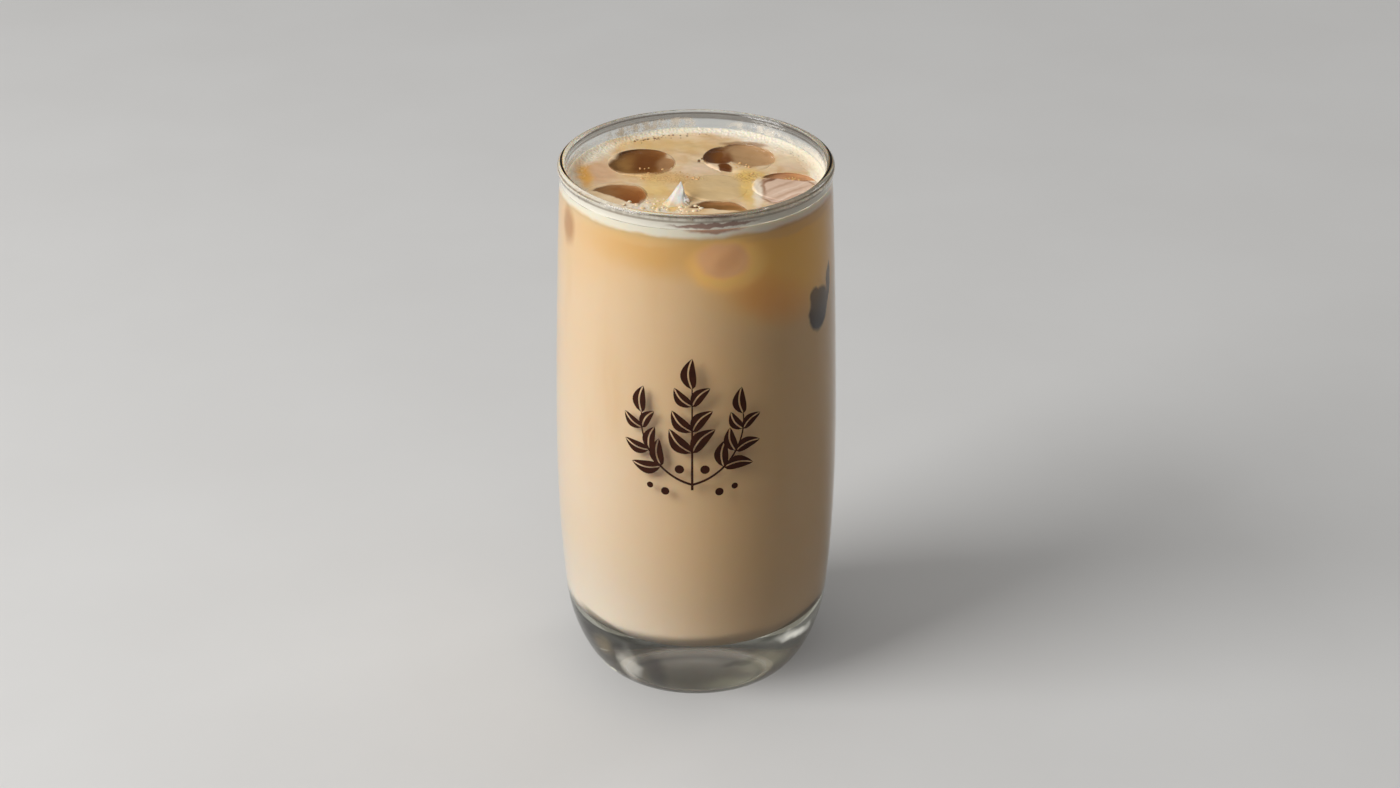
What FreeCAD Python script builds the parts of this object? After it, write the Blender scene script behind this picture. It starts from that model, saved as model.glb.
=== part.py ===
import FreeCAD, Part
import math
import os

# An iced Irish coffee: a tall tumbler with a barrel-shaped side, a thick rounded base and a
# beaded lip, filled with milky coffee under a thin layer of foam, with ice floating in it.
# The tumbler stands on Z = 0 around the Z axis. All sizes are in millimetres and degrees.

# The tumbler.
GLASS_HEIGHT = 137.0
BELLY_RADIUS = 35.2
BELLY_HEIGHT = 62.0
NECK_RADIUS = 33.05
SHOULDER_RADIUS = 33.45
SHOULDER_HEIGHT = 20.0
FOOT_RADIUS = 23.4
HEEL_HEIGHT = 20.0
WALL = 1.9
BASE_THICKNESS = 13.6
BOWL_HEIGHT = 9.2
PUNT_RADIUS = 22.0
PUNT_DEPTH = 0.4
LIP_HEIGHT = 3.2
LIP_OVERHANG = 0.45
LIP_BEAD_RADIUS = 1.05
TAPER_POWER = 1.5
SHOULDER_POWER = 2.4

# What it is filled with.
SURFACE_BELOW_LIP = 4.9
FOAM_DEPTH = 1.9
MENISCUS_HEIGHT = 0.7
MENISCUS_WIDTH = 2.4

# The ice: tapered round blocks from a mould, with melted edges.
ICE_LENGTH = 21.0
ICE_DRAFT = 3.8
ICE_ROUNDING = 1.0
ROUNDING_LIMIT = 0.45
ICE_WALL_GAP = 0.7
ICE_GAP = 0.6
# Each block by its direction from the centre, its reach towards the wall from 0 to 1, the
# radius of its top, its tilt, the direction it dips to, and its rise out of the foam.
ICE_BLOCKS = {
    "ice_back_left": (144.0, 0.76, 8.6, 1.5, 205.0, 0.55),
    "ice_back_right": (50.0, 0.78, 9.3, 1.5, 20.0, 0.55),
    "ice_front_left": (208.0, 1.0, 8.3, 2.5, 215.0, 0.55),
    "ice_right": (-13.0, 1.0, 8.4, 2.0, -70.0, 0.55),
    "ice_front": (-78.0, 1.0, 8.4, 1.5, -78.0, 0.55),
    "ice_centre": (-49.0, 0.33, 8.4, 1.0, 10.0, 0.35),
}

CORNER_STEPS = 9
SIDE_STEPS = 8

LIP_BASE = GLASS_HEIGHT - LIP_HEIGHT
SURFACE = GLASS_HEIGHT - SURFACE_BELOW_LIP
DRINK_TOP = SURFACE - FOAM_DEPTH
REACH = 2.0 * (GLASS_HEIGHT + BELLY_RADIUS)
ORIGIN = FreeCAD.Vector(0, 0, 0)
UP = FreeCAD.Vector(0, 0, 1)


def point(radius, height):
    """A point of a turned profile, in the XZ plane."""
    return FreeCAD.Vector(radius, 0, height)


def side_radius(height):
    """Outer radius of the barrel-shaped side at a height, without the rounded heel."""
    if height >= BELLY_HEIGHT:
        share = (height - BELLY_HEIGHT) / (LIP_BASE - BELLY_HEIGHT)
        return BELLY_RADIUS - (BELLY_RADIUS - NECK_RADIUS) * share**TAPER_POWER
    share = (BELLY_HEIGHT - height) / (BELLY_HEIGHT - SHOULDER_HEIGHT)
    return BELLY_RADIUS - (BELLY_RADIUS - SHOULDER_RADIUS) * share**SHOULDER_POWER


def inner_radius(height):
    """Radius of the inside of the wall at a height above the bowl."""
    return side_radius(height) - WALL


def cupped_curve(bottom, corner_height, flat_radius, radius_at):
    """A smooth curve from the edge of a flat of flat_radius at height bottom, round an
    elliptical corner and up the side to the lip's base. radius_at gives the side's radius."""
    points = []
    for step in range(CORNER_STEPS + 1):
        turn = math.radians(90.0) * step / CORNER_STEPS
        height = bottom + corner_height * (1.0 - math.cos(turn))
        radius = flat_radius + (radius_at(height) - flat_radius) * math.sin(turn)
        points.append(point(radius, height))
    corner_top = bottom + corner_height
    for step in range(1, SIDE_STEPS + 1):
        height = corner_top + (LIP_BASE - corner_top) * step / SIDE_STEPS
        points.append(point(radius_at(height), height))
    curve = Part.BSplineCurve()
    last_run = points[-1] - points[-2]
    curve.interpolate(
        Points=points,
        InitialTangent=FreeCAD.Vector(1, 0, 0),
        FinalTangent=last_run.normalize(),
        Scale=False,
    )
    return curve.toShape(), points[0], points[-1]


def line(start, end):
    return Part.makeLine(start, end)


def arc(start, middle, end):
    return Part.Arc(start, middle, end).toShape()


def turned(edges):
    """The solid that a closed profile in the XZ plane sweeps round the Z axis."""
    face = Part.Face(Part.Wire(Part.__sortEdges__(edges)))
    return face.revolve(ORIGIN, UP, 360.0)


def make_tumbler():
    """The tumbler: outer side, beaded lip, inner side, bowl and the hollow under its foot."""
    outer, foot_edge, outer_neck = cupped_curve(0.0, HEEL_HEIGHT, FOOT_RADIUS, side_radius)
    inner, bowl_centre, inner_neck = cupped_curve(
        BASE_THICKNESS, BOWL_HEIGHT, 0.0, inner_radius
    )
    bead_radius = NECK_RADIUS + LIP_OVERHANG - LIP_BEAD_RADIUS
    bead_height = GLASS_HEIGHT - LIP_BEAD_RADIUS
    bead_outside = point(bead_radius + LIP_BEAD_RADIUS, bead_height)
    bead_top = point(bead_radius, GLASS_HEIGHT)
    bead_inside = point(bead_radius - LIP_BEAD_RADIUS, bead_height)
    punt_centre = point(0.0, PUNT_DEPTH)
    punt_edge = point(PUNT_RADIUS, 0.0)
    dome_radius = (PUNT_RADIUS**2 + PUNT_DEPTH**2) / (2.0 * PUNT_DEPTH)
    half_turn = math.asin(PUNT_RADIUS / dome_radius) / 2.0
    punt_middle = point(
        dome_radius * math.sin(half_turn),
        PUNT_DEPTH - dome_radius * (1.0 - math.cos(half_turn)),
    )
    return turned(
        [
            line(punt_edge, foot_edge),
            outer,
            line(outer_neck, bead_outside),
            arc(bead_outside, bead_top, bead_inside),
            line(bead_inside, inner_neck),
            inner,
            line(bowl_centre, punt_centre),
            arc(punt_centre, punt_middle, punt_edge),
        ]
    )


def make_cavity():
    """The room inside the tumbler, from the bowl up to the lip's base."""
    inner, bowl_centre, inner_neck = cupped_curve(
        BASE_THICKNESS, BOWL_HEIGHT, 0.0, inner_radius
    )
    lid_centre = point(0.0, LIP_BASE)
    return turned([inner, line(inner_neck, lid_centre), line(lid_centre, bowl_centre)])


def make_foam_form():
    """A disc with the foam's flat underside and its top, which climbs to the wall in a
    hollow curve. It reaches past the wall, so that the cavity trims it."""
    climb_start = inner_radius(SURFACE) - MENISCUS_WIDTH
    curl_radius = (MENISCUS_WIDTH**2 + MENISCUS_HEIGHT**2) / (2.0 * MENISCUS_HEIGHT)
    half_turn = math.asin(MENISCUS_WIDTH / curl_radius) / 2.0
    climb_top = SURFACE + MENISCUS_HEIGHT
    corners = [
        point(0.0, SURFACE),
        point(0.0, DRINK_TOP),
        point(REACH, DRINK_TOP),
        point(REACH, climb_top),
        point(climb_start + MENISCUS_WIDTH, climb_top),
    ]
    edges = [line(start, end) for start, end in zip(corners, corners[1:])]
    middle = point(
        climb_start + curl_radius * math.sin(half_turn),
        SURFACE + curl_radius * (1.0 - math.cos(half_turn)),
    )
    edges.append(arc(corners[-1], middle, point(climb_start, SURFACE)))
    edges.append(line(point(climb_start, SURFACE), corners[0]))
    return turned(edges)


def make_block(radius):
    """A block of ice standing on its narrow end, with both rims melted round."""
    foot_radius = radius - ICE_LENGTH * math.tan(math.radians(ICE_DRAFT))
    block = Part.makeCone(foot_radius, radius, ICE_LENGTH)
    rims = [edge for edge in block.Edges if isinstance(edge.Curve, Part.Circle)]
    return block.makeFillet(min(ICE_ROUNDING, ROUNDING_LIMIT * foot_radius), rims)


def dip(block, tilt, heading):
    """The block tilted about the middle of its top, so that its top dips towards heading."""
    pivot = FreeCAD.Vector(0, 0, ICE_LENGTH)
    turn = math.radians(heading + 90.0)
    axis = FreeCAD.Vector(math.cos(turn), math.sin(turn), 0)
    return block.rotated(pivot, axis, tilt)


def block_centre(direction, reach, radius):
    """Where a block stands in plan. Full reach brings it to ICE_WALL_GAP from the wall."""
    distance = reach * (inner_radius(SURFACE) - ICE_WALL_GAP - radius)
    turn = math.radians(direction)
    return FreeCAD.Vector(distance * math.cos(turn), distance * math.sin(turn), 0)


def trim_to_neighbours(block, name, centres):
    """The block melted flat wherever it would come nearer to a neighbour than ICE_GAP."""
    centre = centres[name]
    radius = ICE_BLOCKS[name][2]
    for other_name, other in centres.items():
        if other_name == name:
            continue
        towards = other - centre
        other_radius = ICE_BLOCKS[other_name][2]
        own_share = (radius + towards.Length - other_radius - ICE_GAP) / 2.0
        towards.normalize()
        own_side = Part.makeCylinder(REACH, REACH, centre + towards * own_share, -towards)
        block = block.common(own_side)
    return block


def make_ice():
    """Every block of ice by name, floating with its top a little above the foam."""
    centres = {name: block_centre(*values[:3]) for name, values in ICE_BLOCKS.items()}
    blocks = {}
    for name, (_, _, radius, tilt, heading, rise) in ICE_BLOCKS.items():
        block = dip(make_block(radius), tilt, heading)
        lift = SURFACE + rise - block.optimalBoundingBox().ZMax
        block = block.translated(centres[name] + FreeCAD.Vector(0, 0, lift))
        blocks[name] = trim_to_neighbours(block, name, centres)
    return blocks


def make_pieces():
    """Every piece of the drink by node name."""
    cavity = make_cavity()
    ice = make_ice()
    blocks = list(ice.values())
    below_foam = Part.makeCylinder(REACH, DRINK_TOP)
    return {
        "tumbler": make_tumbler(),
        "coffee": cavity.common(below_foam).cut(blocks),
        "milk_foam": cavity.common(make_foam_form()).cut(blocks),
        **ice,
    }


def main():
    os.makedirs("parts", exist_ok=True)
    for name, shape in make_pieces().items():
        solids = shape.Solids
        if len(solids) != 1 or not solids[0].isValid():
            raise ValueError(f"{name} has {len(solids)} solids, and one valid one is wanted")
        solids[0].exportStep(f"parts/{name}.step")
        box = solids[0].optimalBoundingBox()
        size = (round(box.XLength, 1), round(box.YLength, 1), round(box.ZLength, 1))
        print(f"{name}: {size} mm, {solids[0].Volume / 1000.0:.2f} cm3")


main()
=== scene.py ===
"""The looks of an iced coffee in a tall tumbler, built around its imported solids.

The tumbler, the coffee, the foam and the ice are modelled afresh at the places that the solids
hold. Sizes are in metres, and patterns inside materials are worked out in millimetres.
"""

import logging
import math
import random
from collections.abc import Iterable, Sequence
from dataclasses import dataclass, field, replace
from itertools import pairwise

import bmesh
import bpy
from mathutils import Matrix, Vector, noise


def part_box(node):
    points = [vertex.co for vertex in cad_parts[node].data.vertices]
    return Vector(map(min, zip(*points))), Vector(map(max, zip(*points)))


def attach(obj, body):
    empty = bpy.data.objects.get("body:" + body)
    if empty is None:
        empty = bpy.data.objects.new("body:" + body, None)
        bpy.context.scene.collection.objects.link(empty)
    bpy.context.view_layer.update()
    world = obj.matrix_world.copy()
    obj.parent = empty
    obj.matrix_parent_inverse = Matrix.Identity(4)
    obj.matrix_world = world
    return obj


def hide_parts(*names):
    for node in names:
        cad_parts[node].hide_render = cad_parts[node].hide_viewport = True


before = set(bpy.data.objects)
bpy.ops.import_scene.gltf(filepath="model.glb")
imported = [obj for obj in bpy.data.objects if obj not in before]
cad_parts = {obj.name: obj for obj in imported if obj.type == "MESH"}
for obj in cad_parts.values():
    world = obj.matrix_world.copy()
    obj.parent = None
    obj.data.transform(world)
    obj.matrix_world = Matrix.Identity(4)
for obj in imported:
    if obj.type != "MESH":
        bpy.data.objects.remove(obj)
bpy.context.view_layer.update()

MM = 0.001
MM_PER_M = 1000.0
BODY = "root"
WELD = 0.001 * MM
# What fills the glass reaches this far into its wall, so that no air shows between them.
BITE = 0.15 * MM

# Edges that turn by more than this many degrees stay sharp.
SHARP = 50.0
# What the uneven shapes of the ice start from.
NOISE_SEED = 4

log = logging.getLogger("iced_coffee")

Colour = tuple[float, float, float, float]
Point = tuple[float, float]
# A place on a surface in millimetres, across and along, and a size.
Spot = tuple[float, float, float]

BLACK: Colour = (0.0, 0.0, 0.0, 1.0)
WHITE: Colour = (1.0, 1.0, 1.0, 1.0)
# How far red, green and blue light spread under a milky surface, as shares.
MILKY_SPREAD = (1.0, 0.6, 0.35)


def shown(red: int, green: int, blue: int) -> Colour:
    """Turn a display colour into the linear colour that a shader takes.

    Args:
        red: Red from 0 to 255.
        green: Green from 0 to 255.
        blue: Blue from 0 to 255.

    Returns:
        The linear colour, opaque.
    """
    shares = (red / 255.0, green / 255.0, blue / 255.0)
    toe, slope, lift, power = 0.04045, 12.92, 0.055, 2.4
    linear = [s / slope if s <= toe else ((s + lift) / (1.0 + lift)) ** power for s in shares]
    return (*linear, 1.0)


@dataclass(frozen=True)
class Patch:
    """A soft-edged oval of colour, in the units of the place that it is painted on.

    A cut leaves out what lies under that share of its second radius. A ring keeps only a line
    along its edge, of that half-width.
    """

    centre: Point
    radii: Point
    colour: Colour
    strength: float = 1.0
    turn: float = 0.0
    soft: float = 0.3
    cut: float | None = None
    ring: float | None = None


# --------------------------------------------------------------------------- shader building


class Sock:
    """A number in a shader that Python's operators join through Math nodes."""

    def __init__(self, shader: "Shader", socket: bpy.types.NodeSocket) -> None:
        """Wrap one output socket of a shader's node."""
        self.shader = shader
        self.socket = socket

    def math(self, operation: str, *values: "Sock | float") -> "Sock":
        """Add a Math node.

        Args:
            operation: The node's operation.
            values: What its sockets take, in order.

        Returns:
            The node's result.
        """
        return self.shader.node("ShaderNodeMath", {"operation": operation}, dict(enumerate(values)))

    def __add__(self, other: "Sock | float") -> "Sock":
        """Add."""
        return self.math("ADD", self, other)

    def __radd__(self, other: float) -> "Sock":
        """Add, reflected."""
        return self.math("ADD", other, self)

    def __sub__(self, other: "Sock | float") -> "Sock":
        """Subtract."""
        return self.math("SUBTRACT", self, other)

    def __rsub__(self, other: float) -> "Sock":
        """Subtract, reflected."""
        return self.math("SUBTRACT", other, self)

    def __mul__(self, other: "Sock | float") -> "Sock":
        """Multiply."""
        return self.math("MULTIPLY", self, other)

    def __rmul__(self, other: float) -> "Sock":
        """Multiply, reflected."""
        return self.math("MULTIPLY", other, self)

    def __neg__(self) -> "Sock":
        """Negate."""
        return self.math("MULTIPLY", self, -1.0)

    def __abs__(self) -> "Sock":
        """Leave out the sign."""
        return self.math("ABSOLUTE", self)

    def highest(self, other: "Sock | float") -> "Sock":
        """The higher of two numbers."""
        return self.math("MAXIMUM", self, other)

    def step(self, low: float, high: float) -> "Sock":
        """Rise smoothly from 0 to 1.

        Args:
            low: Where the rise starts.
            high: Where it ends. It may be under low, and then the result falls.

        Returns:
            The share from 0 to 1.
        """
        if low > high:
            return 1.0 - self.step(high, low)
        return self.shader.node(
            "ShaderNodeMapRange",
            {"interpolation_type": "SMOOTHSTEP"},
            {"Value": self, "From Min": low, "From Max": high, "To Min": 0.0, "To Max": 1.0},
        )


class Shader:
    """The nodes of a material or of the world, under construction."""

    def __init__(self, owner: bpy.types.Material | bpy.types.World) -> None:
        """Empty the owner's node tree.

        Args:
            owner: The material or the world that the nodes are for.
        """
        self.owner = owner
        owner.use_nodes = True
        self.tree = owner.node_tree
        self.tree.nodes.clear()

    @classmethod
    def named(cls, name: str) -> "Shader":
        """Start a new material."""
        return cls(bpy.data.materials.new(name))

    def node(
        self,
        kind: str,
        settings: dict[str, object] | None = None,
        inputs: dict[str | int, object] | None = None,
        output: str | int = 0,
    ) -> Sock:
        """Add any node.

        Args:
            kind: The node's type.
            settings: Its own properties.
            inputs: What its sockets take, by name or number: a Sock to link, or a value.
            output: The output that is wanted, by name or number.

        Returns:
            That output.
        """
        made = self.tree.nodes.new(kind)
        for key, value in (settings or {}).items():
            setattr(made, key, value)
        for key, value in (inputs or {}).items():
            if isinstance(value, Sock):
                self.tree.links.new(value.socket, made.inputs[key])
            else:
                made.inputs[key].default_value = value
        return Sock(self, made.outputs[output])

    def millimetres(self) -> Sock:
        """The place on the object as a vector in millimetres."""
        place = self.node("ShaderNodeTexCoord", {}, {}, "Object")
        return self.node("ShaderNodeVectorMath", {"operation": "SCALE"}, {0: place, "Scale": MM_PER_M})

    def axes(self, vector: Sock) -> tuple[Sock, Sock, Sock]:
        """Split a vector.

        Args:
            vector: The vector.

        Returns:
            Its three numbers.
        """
        x = self.node("ShaderNodeSeparateXYZ", {}, {0: vector})
        outputs = x.socket.node.outputs
        return x, Sock(self, outputs[1]), Sock(self, outputs[2])

    def vector(self, x: Sock | float, y: Sock | float, z: Sock | float) -> Sock:
        """Join three numbers into a vector."""
        return self.node("ShaderNodeCombineXYZ", {}, {0: x, 1: y, 2: z})

    def length(self, vector: Sock) -> Sock:
        """The length of a vector."""
        return self.node("ShaderNodeVectorMath", {"operation": "LENGTH"}, {0: vector}, "Value")

    def flat(self, place: Sock) -> Sock:
        """The place seen from above, its height left out."""
        x, y, _ = self.axes(place)
        return self.vector(x, y, 0.0)

    def unrolled(self, place: Sock) -> Sock:
        """The place on a wall round the Z axis, unrolled.

        Args:
            place: The place, in millimetres.

        Returns:
            Degrees round from the front, rising to the right, and the height.
        """
        x, y, z = self.axes(place)
        return self.vector(x.math("ARCTAN2", x, -y) * math.degrees(1.0), z, 0.0)

    def cloud(self, vector: Sock, size: float, detail: float = 2.0, roughness: float = 0.5) -> Sock:
        """Soft noise around zero.

        Args:
            vector: The place, in millimetres.
            size: The size of the noise's blotches, in the same unit.
            detail: How many finer layers it has.
            roughness: How strong those are.

        Returns:
            A number from about -0.5 to 0.5.
        """
        inputs = {"Vector": vector, "Scale": 1.0 / size, "Detail": detail, "Roughness": roughness}
        return self.node("ShaderNodeTexNoise", {"noise_dimensions": "3D"}, inputs) - 0.5

    def warped(self, vector: Sock, size: float, reach: float) -> Sock:
        """Bend a place by noise, so that what is drawn on it has uneven edges.

        Args:
            vector: The place, in millimetres.
            size: The size of the bends.
            reach: How far they go.

        Returns:
            The bent place.
        """
        inputs = {"Vector": vector, "Scale": 1.0 / size, "Detail": 2.0}
        swirl = self.node("ShaderNodeTexNoise", {}, inputs, "Color")
        centred = self.node("ShaderNodeVectorMath", {"operation": "SUBTRACT"}, {0: swirl, 1: (0.5,) * 3})
        scaled = self.node("ShaderNodeVectorMath", {"operation": "SCALE"}, {0: centred, "Scale": 2 * reach})
        return self.node("ShaderNodeVectorMath", {"operation": "ADD"}, {0: vector, 1: scaled})

    def blend(self, share: Sock | float, first: Sock | Colour, second: Sock | Colour) -> Sock:
        """Mix two colours.

        Args:
            share: How much of the second, from 0 to 1.
            first: The colour at 0.
            second: The colour at 1.

        Returns:
            The mixed colour.
        """
        return self.node("ShaderNodeMix", {"data_type": "RGBA"}, {0: share, 6: first, 7: second}, 2)

    def spot(self, place: Sock, patch: Patch) -> Sock:
        """The mask of a patch.

        Args:
            place: The place, in the patch's units, with no third axis.
            patch: The patch.

        Returns:
            1 inside, falling to 0 outside.
        """
        inputs = {
            "Vector": place,
            "Location": (*patch.centre, 0.0),
            "Rotation": (0.0, 0.0, math.radians(patch.turn)),
            "Scale": (*patch.radii, 1.0),
        }
        local = self.node("ShaderNodeMapping", {"vector_type": "TEXTURE"}, inputs)
        reach = self.length(local)
        if patch.ring is None:
            inside = reach.step(1.0 + patch.soft, 1.0 - patch.soft)
        else:
            inside = abs(reach - 1.0).step(patch.ring, 0.0)
        if patch.cut is None:
            return inside
        _, across, _ = self.axes(local)
        return inside * across.step(patch.cut - patch.soft / 2.0, patch.cut + patch.soft / 2.0)

    def painted(self, colour: Sock | Colour, place: Sock, patches: Iterable[Patch]) -> Sock:
        """Paint patches over a colour.

        Args:
            colour: The colour under them.
            place: The place, in the patches' units, with no third axis.
            patches: The patches, the lowest first.

        Returns:
            The colour with the patches on it.
        """
        for patch in patches:
            colour = self.blend(self.spot(place, patch) * patch.strength, colour, patch.colour)
        return colour

    def covered(self, place: Sock, patches: Iterable[Patch]) -> Sock:
        """How far white patches cover a place.

        Args:
            place: The place, in the patches' units, with no third axis.
            patches: The patches, all of them white.

        Returns:
            The share from 0 to 1.
        """
        share, _, _ = self.axes(self.painted(BLACK, place, patches))
        return share

    def upright(self, place: Sock, share: Sock) -> Sock:
        """A normal that turns level, straight out from the Z axis.

        Args:
            place: The place.
            share: How far it turns from the surface's own normal, from 0 to 1.

        Returns:
            The normal.
        """
        turned = {"vector_type": "NORMAL", "convert_from": "OBJECT", "convert_to": "WORLD"}
        level = self.node("ShaderNodeVectorTransform", turned, {"Vector": self.flat(place)})
        level = self.node("ShaderNodeVectorMath", {"operation": "NORMALIZE"}, {0: level})
        own = self.node("ShaderNodeNewGeometry", {}, {}, "Normal")
        mixed = self.node("ShaderNodeMix", {"data_type": "VECTOR"}, {0: share, 4: own, 5: level}, 1)
        return self.node("ShaderNodeVectorMath", {"operation": "NORMALIZE"}, {0: mixed})

    def bump(self, height: Sock, depth: float) -> Sock:
        """Turn a height into a normal.

        Args:
            height: The height, in units of depth.
            depth: What a height of 1 stands for, in metres.

        Returns:
            The normal.
        """
        return self.node("ShaderNodeBump", {}, {"Height": height, "Distance": depth, "Strength": 1.0})

    def principled(self, **inputs: object) -> Sock:
        """Add a Principled shader, its sockets named with underscores for spaces."""
        named = {key.replace("_", " "): value for key, value in inputs.items()}
        return self.node("ShaderNodeBsdfPrincipled", {}, named)

    def finished(self, surface: Sock) -> bpy.types.Material | bpy.types.World:
        """Connect the surface.

        Args:
            surface: The shader that the material or the world shows.

        Returns:
            The finished owner.
        """
        is_world = isinstance(self.owner, bpy.types.World)
        output = self.tree.nodes.new("ShaderNodeOutputWorld" if is_world else "ShaderNodeOutputMaterial")
        self.tree.links.new(surface.socket, output.inputs["Surface"])
        return self.owner


# --------------------------------------------------------------------------- mesh helpers


def lathe(profile: Sequence[Point], segments: int) -> bmesh.types.BMesh:
    """Turn a profile right round the Z axis.

    Args:
        profile: Radius and height of each point, from one end to the other.
        segments: How many steps the turn has.

    Returns:
        The closed shell, its faces outwards.
    """
    bm = bmesh.new()
    verts = [bm.verts.new((radius, 0.0, height)) for radius, height in profile]
    edges = [bm.edges.new(pair) for pair in pairwise(verts)]
    bmesh.ops.spin(
        bm,
        geom=verts + edges,
        axis=(0, 0, 1),
        cent=(0, 0, 0),
        angle=math.tau,
        steps=segments,
        use_merge=True,
    )
    bmesh.ops.remove_doubles(bm, verts=bm.verts, dist=WELD)
    bmesh.ops.dissolve_degenerate(bm, edges=bm.edges, dist=WELD)
    bmesh.ops.recalc_face_normals(bm, faces=bm.faces)
    return bm


def smooth(mesh: bpy.types.Mesh) -> None:
    """Shade a mesh smoothly, apart from its sharp edges."""
    mesh.polygons.foreach_set("use_smooth", [True] * len(mesh.polygons))
    mesh.set_sharp_from_angle(angle=math.radians(SHARP))


def linked(name: str, data: bpy.types.ID) -> bpy.types.Object:
    """Put a new object in the scene.

    Args:
        name: Its name.
        data: The mesh, lamp or camera that it holds.

    Returns:
        The object, at the origin.
    """
    made = bpy.data.objects.new(name, data)
    bpy.context.scene.collection.objects.link(made)
    return made


def piece_from(bm: bmesh.types.BMesh, name: str, material: bpy.types.Material) -> bpy.types.Object:
    """Make a smooth-shaded object.

    Args:
        bm: Its mesh, which is used up.
        name: Its name.
        material: Its finish.

    Returns:
        The object, at the origin.
    """
    mesh = bpy.data.meshes.new(name)
    bm.to_mesh(mesh)
    bm.free()
    smooth(mesh)
    mesh.materials.append(material)
    return linked(name, mesh)


def pass_light(piece: bpy.types.Object) -> None:
    """Let light through a clear piece, which then casts no shadow of its own."""
    piece.visible_shadow = False
    piece.visible_diffuse = False


def settle(piece: bpy.types.Object, slot: str, *nodes: str) -> bpy.types.Object:
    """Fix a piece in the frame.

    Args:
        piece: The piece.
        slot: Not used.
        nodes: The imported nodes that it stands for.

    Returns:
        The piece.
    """
    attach(piece, BODY)
    if nodes:
        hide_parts(*nodes)
    log.info("%s: %d faces", piece.name, len(piece.data.polygons))
    return piece


def carve(piece: bpy.types.Object, cutters: Iterable[bpy.types.Object]) -> None:
    """Cut the cutters' shapes out of a piece, whose new walls take the cutters' materials.

    Args:
        piece: The piece to cut.
        cutters: Closed shapes.
    """
    for cutter in cutters:
        cut = piece.modifiers.new(cutter.name, "BOOLEAN")
        cut.operation = "DIFFERENCE"
        cut.solver = "EXACT"
        cut.material_mode = "TRANSFER"
        cut.object = cutter
    graph = bpy.context.evaluated_depsgraph_get()
    mesh = bpy.data.meshes.new_from_object(piece.evaluated_get(graph), depsgraph=graph)
    piece.modifiers.clear()
    old = piece.data
    piece.data = mesh
    mesh.name = old.name
    bpy.data.meshes.remove(old)
    smooth(mesh)


def arc_points(centre: Point, radii: Point, start: float, end: float, steps: int) -> list[Point]:
    """Points along part of an ellipse.

    Args:
        centre: Its centre.
        radii: Its two half-widths.
        start: The first point's direction in degrees.
        end: The last point's direction in degrees.
        steps: How many steps lie between them.

    Returns:
        The points, both ends included.
    """
    turns = [math.radians(start + (end - start) * step / steps) for step in range(steps + 1)]
    return [(centre[0] + radii[0] * math.cos(t), centre[1] + radii[1] * math.sin(t)) for t in turns]


# --------------------------------------------------------------------------- the tumbler


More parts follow.
